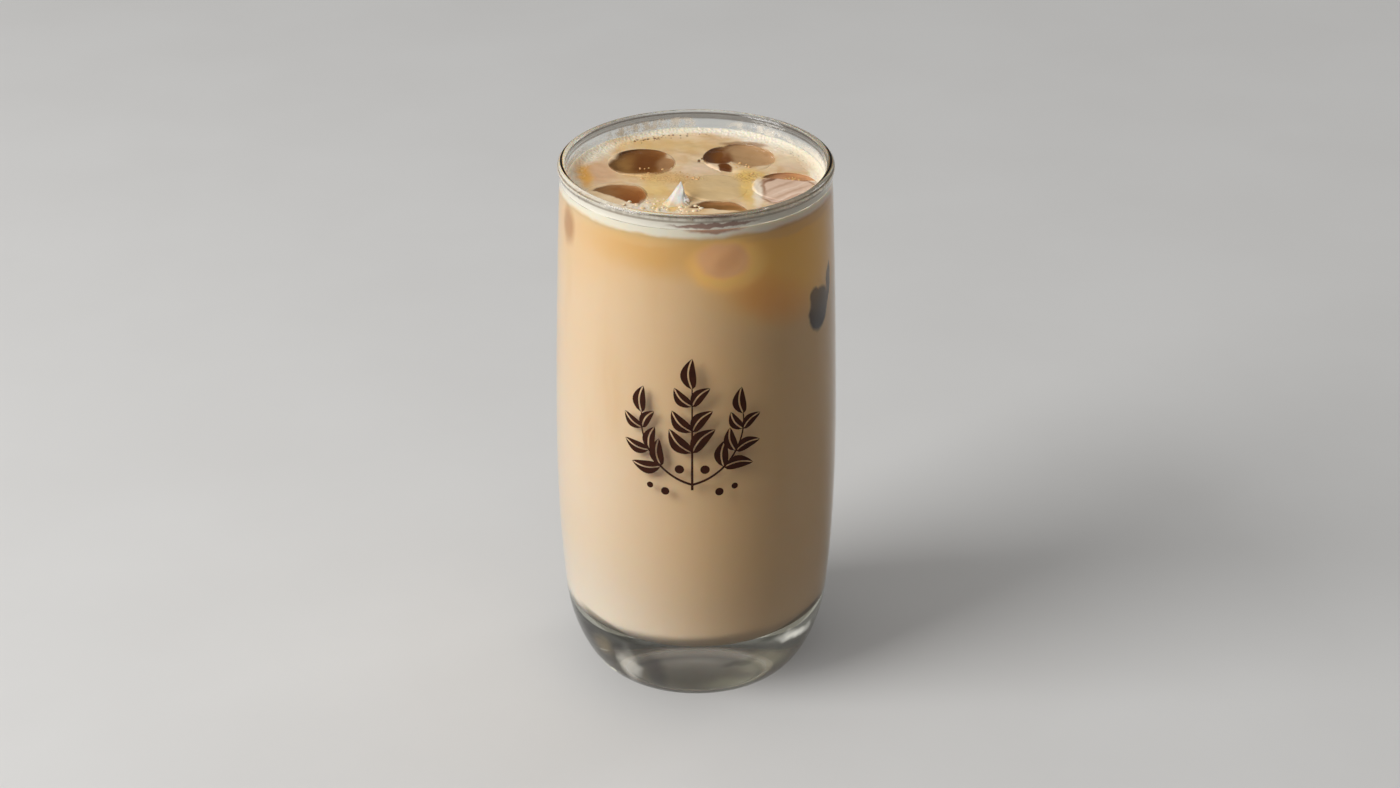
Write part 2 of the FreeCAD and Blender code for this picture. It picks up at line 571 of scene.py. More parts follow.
@dataclass(frozen=True)
class TumblerShape:
    """The tumbler's sizes, and the radii of its side and its wall at any height."""

    height: float
    belly_radius: float
    belly_height: float = 62.0 * MM
    neck_radius: float = 33.05 * MM
    shoulder_radius: float = 33.45 * MM
    shoulder_height: float = 20.0 * MM
    foot_radius: float = 23.4 * MM
    heel_height: float = 20.0 * MM
    wall: float = 1.9 * MM
    base_thickness: float = 13.6 * MM
    bowl_height: float = 9.2 * MM
    punt_depth: float = 0.4 * MM
    lip_height: float = 3.2 * MM
    lip_overhang: float = 0.45 * MM
    bead_radius: float = 1.05 * MM
    taper_power: float = 1.5
    shoulder_power: float = 2.4

    @property
    def lip_base(self) -> float:
        """Height at which the side turns into the lip."""
        return self.height - self.lip_height

    @property
    def bead_centre(self) -> Point:
        """Radius and height of the middle of the lip's bead."""
        return (self.neck_radius + self.lip_overhang - self.bead_radius, self.height - self.bead_radius)

    def side(self, height: float) -> float:
        """Outer radius at a height, without the rounded heel.

        Args:
            height: The height.

        Returns:
            The radius there.
        """
        if height >= self.belly_height:
            share = (height - self.belly_height) / (self.lip_base - self.belly_height)
            return self.belly_radius - (self.belly_radius - self.neck_radius) * share**self.taper_power
        share = (self.belly_height - height) / (self.belly_height - self.shoulder_height)
        return self.belly_radius - (self.belly_radius - self.shoulder_radius) * share**self.shoulder_power

    def outer(self, height: float) -> float:
        """Outer radius at a height, the rounded heel included.

        Args:
            height: The height.

        Returns:
            The radius there.
        """
        if height >= self.heel_height:
            return self.side(height)
        rise = math.sqrt(1.0 - (1.0 - height / self.heel_height) ** 2)
        return self.foot_radius + (self.side(height) - self.foot_radius) * rise

    def inner(self, height: float) -> float:
        """Inner radius at a height, the rounded bowl and the flare of the lip included.

        Args:
            height: The height.

        Returns:
            The radius there.
        """
        above = height - self.base_thickness
        if height > self.lip_base:
            return self.flared(self.neck_radius - self.wall, self.bead_centre[0] - self.bead_radius, height)
        if above >= self.bowl_height:
            return self.side(height) - self.wall
        rise = math.sqrt(max(0.0, 1.0 - (1.0 - above / self.bowl_height) ** 2))
        return (self.side(height) - self.wall) * rise

    def flared(self, start: float, end: float, height: float) -> float:
        """The radius of a face that turns softly from the lip's base into the bead.

        Args:
            start: Its radius at the lip's base.
            end: Its radius at the middle of the bead.
            height: The height.

        Returns:
            The radius there.
        """
        share = (height - self.lip_base) / (self.bead_centre[1] - self.lip_base)
        return start + (end - start) * share * share * (3.0 - 2.0 * share)

    @staticmethod
    def heights(bottom: float, corner: float, top: float, corner_steps: int, steps: int) -> list[float]:
        """Heights for a profile, close together round its corner.

        Args:
            bottom: The lowest.
            corner: The height of the rounded corner.
            top: The highest.
            corner_steps: Steps round the corner.
            steps: Steps from there to the top.

        Returns:
            The heights from bottom to top.
        """
        turns = [math.radians(90.0) * step / corner_steps for step in range(corner_steps + 1)]
        low = [bottom + corner * (1.0 - math.cos(turn)) for turn in turns]
        rest = top - bottom - corner
        return low + [bottom + corner + rest * step / steps for step in range(1, steps + 1)]


@dataclass(frozen=True)
class ClearGlass:
    """Clear polished drinking glass, uneven and faintly olive in its thick base.

    Low down the glass is olive, partly the tint of thick glass and partly painted shade. The patches
    are the painted highlights and painted dark reflections inside the base, the painted dark lines
    along the edge of the bowl and the painted glow in the base, all in degrees round from the front
    and height in millimetres. The rim lines are painted dark reflections, millimetres below the top,
    with their half-widths.
    """

    ior: float = 1.5
    thin: Colour = shown(250, 252, 250)
    # Olive low in the base: partly the tint of thick glass, partly painted shade.
    thick: Colour = shown(172, 170, 148)
    thick_below: float = 6.0
    thin_above: float = 18.0
    smear_size: float = 9.0
    bend_size: float = 7.0
    bend_reach: float = 3.0
    polish: float = 0.01
    marks: float = 0.03
    foot_blur: float = 0.35
    foot_top: float = 0.7
    foot_full: float = 0.1
    # Painted dark reflections: thin lines round the lip, darker than the glass.
    rim: Colour = shown(112, 98, 82)
    rim_strength: float = 0.85
    rim_core: float = 0.4
    rim_shade_lines: tuple[Point, ...] = ((1.6, 0.45), (0.5, 0.25))
    # Painted highlights, where white lifts the tint, and painted dark reflections inside the base.
    patches: tuple[Patch, ...] = (
        Patch((-33.0, 9.0), (4.6, 5.0), WHITE, 0.95, 0.0, 0.5),
        Patch((52.0, 16.4), (9.0, 1.3), WHITE, 0.95, -8.0, 0.5),
        Patch((-57.0, 15.0), (5.0, 2.4), shown(96, 84, 72), 0.85, 0.0, 0.6),
        Patch((-20.0, 10.5), (6.0, 6.4), shown(92, 90, 92), 0.85, 0.0, 0.6),
        Patch((22.0, 13.4), (9.0, 1.3), shown(96, 98, 92), 0.85, 0.0, 0.5),
        Patch((20.0, 8.6), (15.0, 2.6), shown(214, 212, 186), 0.8, 0.0, 0.6),
    )
    # Painted shade: dark lines inside the base along the edge of the bowl.
    bowl_edge_shade: tuple[Patch, ...] = (
        Patch((-42.0, 20.4), (17.0, 1.6), shown(104, 98, 80), 0.85, -6.6, 0.3),
        Patch((48.0, 20.0), (20.0, 1.5), shown(104, 98, 80), 0.85, 4.0, 0.3),
    )
    # Painted glow: light given off inside the base, as painted highlights.
    painted_base_glow: tuple[Patch, ...] = (
        Patch((-33.0, 9.4), (4.0, 4.6), shown(140, 138, 130), 1.0, 0.0, 0.8),
        Patch((-47.0, 13.0), (6.0, 2.6), shown(92, 80, 58), 1.0, 0.0, 0.8),
        Patch((51.0, 16.6), (9.0, 1.1), shown(180, 178, 170), 1.0, -8.0, 0.8),
        Patch((34.0, 11.4), (13.0, 3.2), shown(72, 70, 56), 1.0, -8.0, 0.6),
        Patch((20.0, 5.4), (14.0, 2.2), shown(66, 66, 52), 1.0, 0.0, 0.7),
    )

    def material(self, height: float) -> bpy.types.Material:
        """Build the finish.

        Args:
            height: The height of the glass.

        Returns:
            The material.
        """
        shader = Shader.named("clear_glass")
        place = shader.millimetres()
        _, _, z = shader.axes(place)
        smears = shader.cloud(place, self.smear_size, 3.0).step(0.0, 0.35)
        bent = shader.unrolled(shader.warped(place, self.bend_size, self.bend_reach))
        # Darker and olive low down: partly the tint of thick glass, partly painted shade.
        colour = shader.blend(z.step(self.thick_below, self.thin_above), self.thick, self.thin)
        # Painted highlights and painted dark reflections inside the base.
        colour = shader.painted(colour, bent, self.patches)
        # Painted shade: dark lines inside the base along the edge of the bowl.
        colour = shader.painted(colour, shader.unrolled(place), self.bowl_edge_shade)
        # Painted dark reflection lines round the lip.
        for below, reach in self.rim_shade_lines:
            line = abs(z - (height * MM_PER_M - below)).step(reach, reach * self.rim_core)
            colour = shader.blend(line * self.rim_strength, colour, self.rim)
        foot = z.step(self.foot_top, self.foot_full)
        surface = shader.principled(
            Base_Color=colour,
            # Painted glow inside the base.
            Emission_Color=shader.painted(BLACK, bent, self.painted_base_glow),
            Emission_Strength=1.0,
            Roughness=smears * self.marks + foot * self.foot_blur + self.polish,
            IOR=self.ior,
            Transmission_Weight=1.0,
        )
        return shader.finished(surface)


@dataclass
class Tumbler:
    """The drinking glass: barrel-shaped side, rounded heel, thick base and beaded lip."""

    shape: TumblerShape
    segments: int = 192
    corner_steps: int = 24
    side_steps: int = 44
    flare_steps: int = 5
    bead_steps: int = 14
    finish: ClearGlass = field(default_factory=ClearGlass)

    def profile(self) -> list[Point]:
        """The section of the glass.

        Returns:
            Its points, from the middle of the punt, up the outside, over the lip and down to the
            middle of the bowl.
        """
        shape = self.shape
        shares = [step / self.corner_steps for step in range(self.corner_steps)]
        punt = [(shape.foot_radius * share, shape.punt_depth * (1.0 - share**2) ** 2) for share in shares]
        outside = shape.heights(0.0, shape.heel_height, shape.lip_base, self.corner_steps, self.side_steps)
        bead = arc_points(shape.bead_centre, (shape.bead_radius,) * 2, 0.0, 180.0, self.bead_steps)
        inside = shape.heights(
            shape.base_thickness, shape.bowl_height, shape.lip_base, self.corner_steps, self.side_steps
        )
        rise = shape.bead_centre[1] - shape.lip_base
        lip = [shape.lip_base + rise * step / self.flare_steps for step in range(1, self.flare_steps)]
        return [
            *punt,
            *[(shape.outer(height), height) for height in outside],
            *[(shape.flared(shape.neck_radius, bead[0][0], height), height) for height in lip],
            *bead,
            *[(shape.inner(height), height) for height in reversed(lip)],
            *[(shape.inner(height), height) for height in reversed(inside)],
        ]

    def build(self) -> bpy.types.Object:
        """Model the glass and put it in the frame.

        Returns:
            The piece.
        """
        finish = self.finish.material(self.shape.height)
        piece = piece_from(lathe(self.profile(), self.segments), "glass_tumbler", finish)
        pass_light(piece)
        return settle(piece, "tumbler", "tumbler")


@dataclass(frozen=True)
class PrintInk:
    """Dark brown ink fired on the glass, very slightly uneven."""

    dark: Colour = shown(48, 20, 9)
    light: Colour = shown(70, 34, 18)
    blotch_size: float = 1.6

    def material(self) -> bpy.types.Material:
        """Build the finish.

        Returns:
            The material.
        """
        shader = Shader.named("brown_print")
        place = shader.millimetres()
        shade = shader.cloud(place, self.blotch_size, 3.0).step(-0.3, 0.4)
        surface = shader.principled(
            Base_Color=shader.blend(shade, self.dark, self.light),
            Roughness=shade * 0.15 + 0.6,
            Specular_IOR_Level=0.15,
        )
        return shader.finished(surface)


@dataclass
class Sprig:
    """A plain printed sprig of leaves and berries on the front of the glass, bent to its side.

    It is laid out flat, across and up from its own middle, and then wrapped. Leaf sizes and
    places are shares of their stem, and each berry is given by its place in millimetres and its
    size.
    """

    shape: TumblerShape
    turn: float = -1.5
    height: float = 81.5 * MM
    sunk: float = 0.008 * MM
    ink: float = 0.03 * MM
    foot: float = -16.0 * MM
    middle_length: float = 27.0 * MM
    arm_length: float = 24.0 * MM
    arm_rise: float = 1.5 * MM
    arm_splay: float = 76.0
    arm_bend: float = 80.0
    stem_width: float = 0.62 * MM
    stem_taper: float = 0.5
    stem_steps: int = 24
    leaf_pairs: int = 3
    first_pair: float = 0.36
    pair_spacing: float = 0.23
    leaf_size: float = 0.31
    leaf_shrink: float = 0.035
    leaf_splay: float = 42.0
    end_leaf: float = 0.30
    gap: float = 0.2 * MM
    slender: float = 0.21
    leaf_lean: float = 0.8
    leaf_fullness: float = 0.9
    split_rise: float = 3.0
    bow: float = 0.12
    berry_radius: float = 1.15 * MM
    berry_places: tuple[Spot, ...] = ((3.1, -10.4, 1.0), (6.6, -16.6, 0.9), (10.4, -15.4, 0.7))

    def half_leaf(self, bm: bmesh.types.BMesh, length: float, side: float) -> list[bmesh.types.BMVert]:
        """One half of a leaf, lying along the first axis from its stalk.

        Args:
            bm: The mesh to add it to.
            length: The leaf's length.
            side: 1 for the left half, -1 for the right.

        Returns:
            Its vertices.
        """
        verts = bmesh.ops.create_grid(bm, x_segments=10, y_segments=3, size=0.5)["verts"]
        for vert in verts:
            along = vert.co.x + 0.5
            across = vert.co.y + 0.5
            swell = math.sin(math.pi * along**self.leaf_lean) ** self.leaf_fullness
            split = self.gap * min(1.0, self.split_rise * swell)
            edge = split + across * swell * length * self.slender
            bow = self.bow * length * math.sin(math.pi * along)
            vert.co = Vector((along * length, side * edge + bow, 0.0))
        return verts

    def leaf(self, bm: bmesh.types.BMesh, root: Vector, heading: float, length: float) -> None:
        """Add a leaf, split along its middle.

        Args:
            bm: The mesh to add it to.
            root: Where its stalk is.
            heading: Its direction in degrees.
            length: Its length.
        """
        verts = self.half_leaf(bm, length, 1.0) + self.half_leaf(bm, length, -1.0)
        place = Matrix.Translation(root) @ Matrix.Rotation(math.radians(heading), 4, "Z")
        bmesh.ops.transform(bm, matrix=place, verts=verts)

    def branch(self, bm: bmesh.types.BMesh, root: Vector, heading: float, bend: float, length: float) -> None:
        """Add a stem with pairs of leaves, and a last leaf at its end.

        Args:
            bm: The mesh to add it to.
            root: Where it starts.
            heading: The direction that it starts in, in degrees.
            bend: How far it turns over its length.
            length: Its length.
        """
        steps = self.stem_steps
        spine = [root.copy()]
        headings = [heading + bend * step / steps for step in range(steps + 1)]
        for turn in headings[1:]:
            ahead = Vector((math.cos(math.radians(turn)), math.sin(math.radians(turn)), 0.0))
            spine.append(spine[-1] + ahead * length / steps)
        verts = bmesh.ops.create_grid(bm, x_segments=steps, y_segments=1, size=0.5)["verts"]
        for vert in verts:
            step = round((vert.co.x + 0.5) * steps)
            turn = math.radians(headings[step] + 90.0)
            width = self.stem_width * (1.0 - self.stem_taper * step / steps)
            vert.co = spine[step] + Vector((math.cos(turn), math.sin(turn), 0.0)) * vert.co.y * width
        for pair in range(self.leaf_pairs):
            step = round(steps * (self.first_pair + self.pair_spacing * pair))
            size = length * (self.leaf_size - self.leaf_shrink * pair)
            for side in (1.0, -1.0):
                self.leaf(bm, spine[step], headings[step] + side * self.leaf_splay, size)
        self.leaf(bm, spine[-1], headings[-1], length * self.end_leaf)

    def berries(self, bm: bmesh.types.BMesh) -> None:
        """Add loose berries on both sides of the foot of the stems.

        Args:
            bm: The mesh to add them to.
        """
        for side in (1.0, -1.0):
            for across, up, size in self.berry_places:
                bmesh.ops.create_circle(
                    bm,
                    cap_ends=True,
                    cap_tris=True,
                    segments=20,
                    radius=self.berry_radius * size,
                    matrix=Matrix.Translation((side * across * MM, up * MM, 0.0)),
                )

    def wrap(self, flat: Vector, lift: float) -> Vector:
        """A flat place bent on to the glass.

        Args:
            flat: The place, across and up from the sprig's middle.
            lift: How far it stands off the glass.

        Returns:
            The place in the frame.
        """
        height = self.height + flat.y
        radius = self.shape.outer(height) + lift
        turn = math.radians(self.turn) + flat.x / radius
        return Vector((radius * math.sin(turn), -radius * math.cos(turn), height))

    def build(self) -> bpy.types.Object:
        """Model the sprig and put it in the frame.

        Returns:
            The piece.
        """
        bm = bmesh.new()
        foot = Vector((0.0, self.foot, 0.0))
        fork = foot + Vector((0.0, self.arm_rise, 0.0))
        self.branch(bm, foot, 90.0, 0.0, self.middle_length)
        for side in (1.0, -1.0):
            self.branch(bm, fork, 90.0 + side * self.arm_splay, -side * self.arm_bend, self.arm_length)
        self.berries(bm)
        bmesh.ops.remove_doubles(bm, verts=bm.verts, dist=WELD)
        layer = bmesh.ops.extrude_face_region(bm, geom=bm.faces[:], use_keep_orig=True)["geom"]
        top = {item for item in layer if isinstance(item, bmesh.types.BMVert)}
        for vert in bm.verts:
            vert.co = self.wrap(vert.co, self.ink if vert in top else -self.sunk)
        bmesh.ops.recalc_face_normals(bm, faces=bm.faces)
        return settle(piece_from(bm, "printed_sprig", PrintInk().material()), "tumbler")


@dataclass(frozen=True)
class StainFinish:
    """A film of milk on the glass above the drink, stained in front and thick in places behind.

    The film, its stain and the thick patches are in degrees round from the front and height in
    millimetres.
    """

    milk: Colour = shown(244, 236, 222)
    film: Patch = Patch((2.0, 133.4), (112.0, 2.1), WHITE, 1.0, 0.0, 0.3)
    film_colour: Colour = shown(255, 248, 232)
    stain: Patch = Patch((8.0, 134.0), (18.0, 0.7), shown(150, 104, 84), 0.9, 1.0, 0.3)
    film_alpha: float = 0.85
    patch_alpha: float = 0.6
    grain_size: float = 2.2
    bend_size: float = 2.0
    bend_reach: float = 0.8
    patches: tuple[Patch, ...] = (
        Patch((-157.0, 133.8), (21.0, 1.6), WHITE, 0.95, 0.0, 0.5),
        Patch((-171.0, 135.0), (8.0, 0.9), WHITE, 0.9, 3.0, 0.6),
        Patch((149.0, 133.6), (15.0, 1.2), WHITE, 0.85, 0.0, 0.6),
        Patch((122.0, 133.2), (14.0, 0.8), WHITE, 0.6, 0.0, 0.6),
    )

    def material(self) -> bpy.types.Material:
        """Build the finish.

        Returns:
            The material.
        """
        shader = Shader.named("milk_trace")
        place = shader.millimetres()
        bent = shader.unrolled(shader.warped(place, self.bend_size, self.bend_reach))
        share = shader.covered(bent, self.patches)
        grain = shader.cloud(place, self.grain_size, 4.0, 0.6).step(-0.14, 0.12)
        film = shader.spot(bent, self.film)
        surface = shader.principled(
            Base_Color=shader.painted(shader.blend(film, self.milk, self.film_colour), bent, [self.stain]),
            Roughness=0.5,
            Alpha=(share * grain * self.patch_alpha).highest(film * self.film_alpha),
        )
        return shader.finished(surface)


@dataclass
class MilkStain:
    """The thin film of milk on the inside of the glass, from the drink up to the lip."""

    shape: TumblerShape
    segments: int = 192
    steps: int = 6
    thickness: float = 0.03 * MM
    bottom: float = 0.75 * MM
    top: float = 3.4 * MM

    def build(self, level: float) -> bpy.types.Object:
        """Model the film and put it in the frame.

        Args:
            level: The height of the drink's surface.

        Returns:
            The piece.
        """
        rise = self.top - self.bottom
        heights = [level + self.bottom + rise * step / self.steps for step in range(self.steps + 1)]
        outside = [(self.shape.inner(height) + self.thickness / 3.0, height) for height in heights]
        inside = [(radius - self.thickness, height) for radius, height in reversed(outside)]
        bm = lathe([*outside, *inside, outside[0]], self.segments)
        return settle(piece_from(bm, "milk_trace_on_glass", StainFinish().material()), "milk_foam")


# --------------------------------------------------------------------------- the drink's colours


@dataclass(frozen=True)
class DrinkTop:
    """The colours on top of the drink, in millimetres from its middle."""

    liquid: Colour = shown(236, 208, 168)
    liquid_dark: Colour = shown(220, 180, 128)
    froth: Colour = shown(246, 232, 208)
    froth_inside: float = 26.6
    froth_fade: float = 1.9
    lean: float = 0.045
    bend_size: float = 3.4
    bend_reach: float = 1.0
    swirl_size: float = 6.0
    swirl_bend_size: float = 9.0
    swirl_bend_reach: float = 4.0
    bubble_size: float = 1.35
    rim_reach: float = 0.36
    rim_width: float = 0.11
    rim_core: float = 0.02
    bubble_rim: Colour = shown(178, 128, 72)
    bubbly: tuple[Patch, ...] = (
        Patch((-7.0, 1.0), (9.4, 3.6), WHITE, 0.5, -10.0, 0.4),
        Patch((12.4, 0.6), (3.0, 3.0), WHITE, 0.8, 0.0, 0.5),
        Patch((-10.0, -18.0), (8.0, 5.0), WHITE, 0.35, -28.0, 0.5),
    )
    patches: tuple[Patch, ...] = (
        Patch((-9.0, 21.6), (15.0, 4.0), shown(226, 188, 122), 0.6, -6.0, 0.6),
        Patch((-23.6, 4.0), (4.4, 7.6), shown(218, 174, 134), 0.85, 12.0, 0.6),
        Patch((-27.2, 2.6), (1.7, 7.0), shown(232, 172, 78), 0.9, 6.0, 0.7),
        Patch((19.6, 20.4), (8.0, 4.0), shown(244, 230, 206), 0.75, -44.0, 0.6),
        Patch((24.0, 11.4), (3.4, 6.4), shown(238, 216, 180), 0.7, 20.0, 0.6),
        Patch((24.4, 7.0), (3.6, 2.8), shown(226, 194, 164), 0.6, 0.0, 0.6),
        Patch((-7.5, 0.6), (9.0, 3.6), shown(228, 184, 118), 0.7, -12.0, 0.6),
        Patch((-9.6, -6.0), (3.6, 5.6), shown(236, 198, 124), 0.75, 10.0, 0.6),
        Patch((1.4, 5.0), (4.4, 4.4), shown(232, 204, 176), 0.7, 0.0, 0.7),
        Patch((4.8, -5.5), (8.5, 8.5), shown(222, 190, 138), 0.85, 0.0, 0.3),
        Patch((12.6, -7.0), (2.0, 9.0), shown(240, 200, 118), 0.8, 4.0, 0.6),
        Patch((13.0, 1.6), (3.4, 3.6), shown(236, 194, 108), 0.85, 20.0, 0.6),
        Patch((-1.6, -6.0), (2.4, 6.0), shown(208, 170, 112), 0.6, 8.0, 0.7),
        Patch((21.6, -7.4), (7.4, 8.2), shown(226, 194, 170), 0.9, 0.0, 0.12),
        Patch((21.6, -7.4), (7.0, 7.8), shown(168, 120, 84), 0.8, 0.0, 0.5, None, 0.07),
        Patch((18.4, -1.6), (3.8, 0.6), shown(140, 96, 66), 0.95, 44.0, 0.6),
        Patch((24.6, -1.2), (4.2, 0.5), shown(150, 106, 74), 0.9, -30.0, 0.6),
        Patch((16.2, -6.6), (0.5, 4.4), shown(156, 112, 80), 0.8, 0.0, 0.6),
        Patch((20.6, -5.0), (5.4, 0.5), shown(186, 146, 118), 0.6, 42.0, 0.8),
        Patch((22.6, -6.4), (6.4, 0.35), shown(240, 214, 192), 0.7, 40.0, 0.7),
        Patch((22.6, -8.6), (6.4, 0.5), shown(188, 148, 120), 0.6, 38.0, 0.8),
        Patch((23.0, -10.2), (6.0, 0.35), shown(240, 214, 192), 0.7, 38.0, 0.7),
        Patch((22.2, -12.0), (5.6, 0.5), shown(190, 150, 122), 0.6, 36.0, 0.8),
        Patch((14.8, -8.8), (1.1, 8.0), shown(250, 236, 212), 0.8, 0.0, 0.6),
        Patch((-11.0, -19.0), (7.0, 4.6), shown(250, 238, 218), 0.85, -28.0, 0.5),
        Patch((-8.4, -14.6), (2.0, 2.6), shown(244, 212, 150), 0.8, -20.0, 0.6),
        Patch((-5.6, -17.4), (1.3, 2.2), shown(232, 188, 100), 0.8, 0.0, 0.7),
        Patch((-9.8, -17.2), (1.1, 1.6), shown(232, 192, 108), 0.7, 20.0, 0.7),
        Patch((15.0, 25.0), (11.0, 2.6), shown(248, 236, 216), 0.8, -28.0, 0.6),
        Patch((-24.4, 15.6), (2.8, 6.6), shown(242, 232, 208), 0.7, -32.0, 0.6),
        Patch((12.0, 21.2), (5.6, 2.2), shown(172, 134, 94), 0.95, -8.0, 0.25),
        Patch((5.0, -29.6), (8.4, 1.6), shown(160, 116, 90), 0.85, 4.0, 0.4),
    )

    def colour(self, shader: Shader) -> Sock:
        """The colour of the drink's surface from above.

        Args:
            shader: The shader under construction.

        Returns:
            The colour.
        """
        place = shader.millimetres()
        flat = shader.flat(shader.warped(place, self.bend_size, self.bend_reach))
        _, y, _ = shader.axes(flat)
        swirled = shader.warped(place, self.swirl_bend_size, self.swirl_bend_reach)
        swirl = shader.cloud(swirled, self.swirl_size, 3.0).step(-0.14, 0.22)
        colour = shader.blend(swirl, self.liquid, self.liquid_dark)
        reach = shader.length(flat) - y * self.lean
        ring = reach.step(self.froth_inside, self.froth_inside + self.froth_fade)
        colour = shader.painted(shader.blend(ring, colour, self.froth), flat, self.patches)
        cells = {"Vector": flat, "Scale": 1.0 / self.bubble_size}
        reach = shader.node("ShaderNodeTexVoronoi", {"voronoi_dimensions": "2D"}, cells, "Distance")
        rims = abs(reach - self.rim_reach).step(self.rim_width, self.rim_core)
        return shader.blend(rims * shader.covered(flat, self.bubbly), colour, self.bubble_rim)


@dataclass(frozen=True)
class DrinkSide:
    """The colours against the glass, by degrees round from the front and height in millimetres.

    Each band is a colour, and the heights between which it takes over from the one below.
    """

    foam_line: float
    bowl_bottom: float
    # Painted light: the coffee is lighter at the bottom, against the shade of the thick base.
    bottom: Colour = shown(238, 224, 204)
    bands: tuple[tuple[Colour, float, float], ...] = (
        (shown(238, 214, 184), 16.0, 50.0),
        (shown(236, 206, 168), 56.0, 104.0),
        (shown(236, 198, 148), 106.0, 127.0),
    )
    drift_size: float = 14.0
    drift_reach: float = 5.0
    streak: Colour = shown(226, 184, 130)
    streak_strength: float = 0.4
    streak_size: float = 8.0
    streak_squash: Point = (0.5, 0.16)
    streaks_from: Point = (30.0, 100.0)
    bend_size: float = 4.0
    bend_reach: float = 0.9
    froth: Colour = shown(248, 236, 214)
    foam_waves: float = 2.2
    foam_wave_size: float = 9.0
    foam_fade: float = 1.4
    # Painted shade: darker on the underside, where the coffee faces down into the base.
    underside: Colour = shown(92, 82, 62)
    underside_top: float = 1.9
    underside_full: float = 1.5
    patches: tuple[Patch, ...] = (
        # Partly the coffee's colour, partly painted shade: warmer and deeper over the right side, away from
        # the key lamp.
        Patch((46.0, 66.0), (60.0, 78.0), shown(238, 188, 118), 0.85, 0.0, 0.8),
        Patch((-2.0, 126.5), (42.0, 5.0), shown(232, 178, 98), 0.85, 0.0, 0.7),
        # Partly the coffee's colour, partly painted shade: caramel high on the right side.
        Patch((52.0, 121.0), (38.0, 11.5), shown(255, 188, 82), 0.85, 0.0, 0.6),
        Patch((34.0, 113.0), (17.0, 5.0), shown(238, 156, 76), 0.7, -14.0, 0.8),
        Patch((79.0, 121.0), (8.0, 9.0), shown(246, 196, 134), 0.6, 0.0, 0.7),
        Patch((14.0, 123.4), (16.0, 6.2), shown(255, 200, 112), 0.9, 0.0, 0.25),
        Patch((11.6, 124.8), (11.4, 4.4), shown(234, 178, 130), 0.95, -4.0, 0.2),
        Patch((14.0, 124.6), (6.0, 2.4), shown(214, 152, 110), 0.7, 20.0, 0.7),
        Patch((-68.0, 125.4), (5.4, 4.2), shown(190, 138, 88), 0.85, 0.0, 0.5),
        Patch((-158.0, 121.0), (12.0, 4.6), shown(206, 162, 116), 0.8, 6.0, 0.35),
        Patch((150.0, 123.0), (15.0, 5.0), shown(200, 148, 92), 0.7, 0.0, 0.5),
        Patch((-118.0, 109.0), (8.0, 3.6), shown(150, 104, 64), 0.8, 12.0, 0.3),
        Patch((62.4, 104.8), (7.8, 5.5), shown(44, 21, 8), 1.0, 6.0, 0.12),
        Patch((58.6, 108.6), (3.6, 2.6), shown(44, 21, 8), 1.0, 0.0, 0.2),
        Patch((71.6, 109.4), (2.4, 5.2), shown(44, 21, 8), 1.0, -16.0, 0.2),
    )
    # Painted glow: warm light given off where the coffee is thin near the ice.
    painted_glow: tuple[Patch, ...] = (
        Patch((50.0, 120.0), (40.0, 12.0), shown(66, 44, 0), 1.0, 0.0, 0.7),
        Patch((13.0, 123.6), (15.0, 6.0), shown(92, 64, 26), 1.0, 0.0, 0.5),
    )
    near_surface: tuple[Patch, ...] = (
        Patch((-26.0, 129.2), (17.0, 1.5), shown(236, 190, 124), 0.9, 0.0, 0.4),
        Patch((50.0, 129.4), (26.0, 1.5), shown(236, 180, 110), 0.9, 0.0, 0.4),
        Patch((8.0, 133.0), (12.5, 1.2), shown(170, 122, 92), 0.9, 0.0, 0.3),
    )

    def colour(self, shader: Shader) -> Sock:
        """The colour on the side.

        Args:
            shader: The shader under construction.

        Returns:
            The colour.
        """
        place = shader.millimetres()
        _, _, soft_z = shader.axes(shader.warped(place, self.drift_size, self.drift_reach))
        colour = self.bottom
        for above, low, high in self.bands:
            colour = shader.blend(soft_z.step(low, high), colour, above)
        unrolled = shader.unrolled(place)
        turn, z, _ = shader.axes(unrolled)
        tall = shader.vector(turn * self.streak_squash[0], z * self.streak_squash[1], 0.0)
        streaks = shader.cloud(tall, self.streak_size, 3.0).step(0.0, 0.3) * z.step(*self.streaks_from)
        colour = shader.blend(streaks * self.streak_strength, colour, self.streak)
        bent = shader.unrolled(shader.warped(place, self.bend_size, self.bend_reach))
        colour = shader.painted(colour, bent, self.patches)
        line = z + shader.cloud(place, self.foam_wave_size, 3.0) * self.foam_waves
        foam = line.step(self.foam_line, self.foam_line + self.foam_fade)
        colour = shader.painted(shader.blend(foam, colour, self.froth), bent, self.near_surface)
        # Painted shade on the underside.
        under = z.step(self.bowl_bottom + self.underside_top, self.bowl_bottom + self.underside_full)
        return shader.blend(under, colour, self.underside)

    def painted_light_through(self, shader: Shader) -> Sock:
        # Painted glow, given off as light by the coffee.
        """The warm light that comes through the thin coffee near the ice."""
        return shader.painted(BLACK, shader.unrolled(shader.millimetres()), self.painted_glow)


# --------------------------------------------------------------------------- the ice


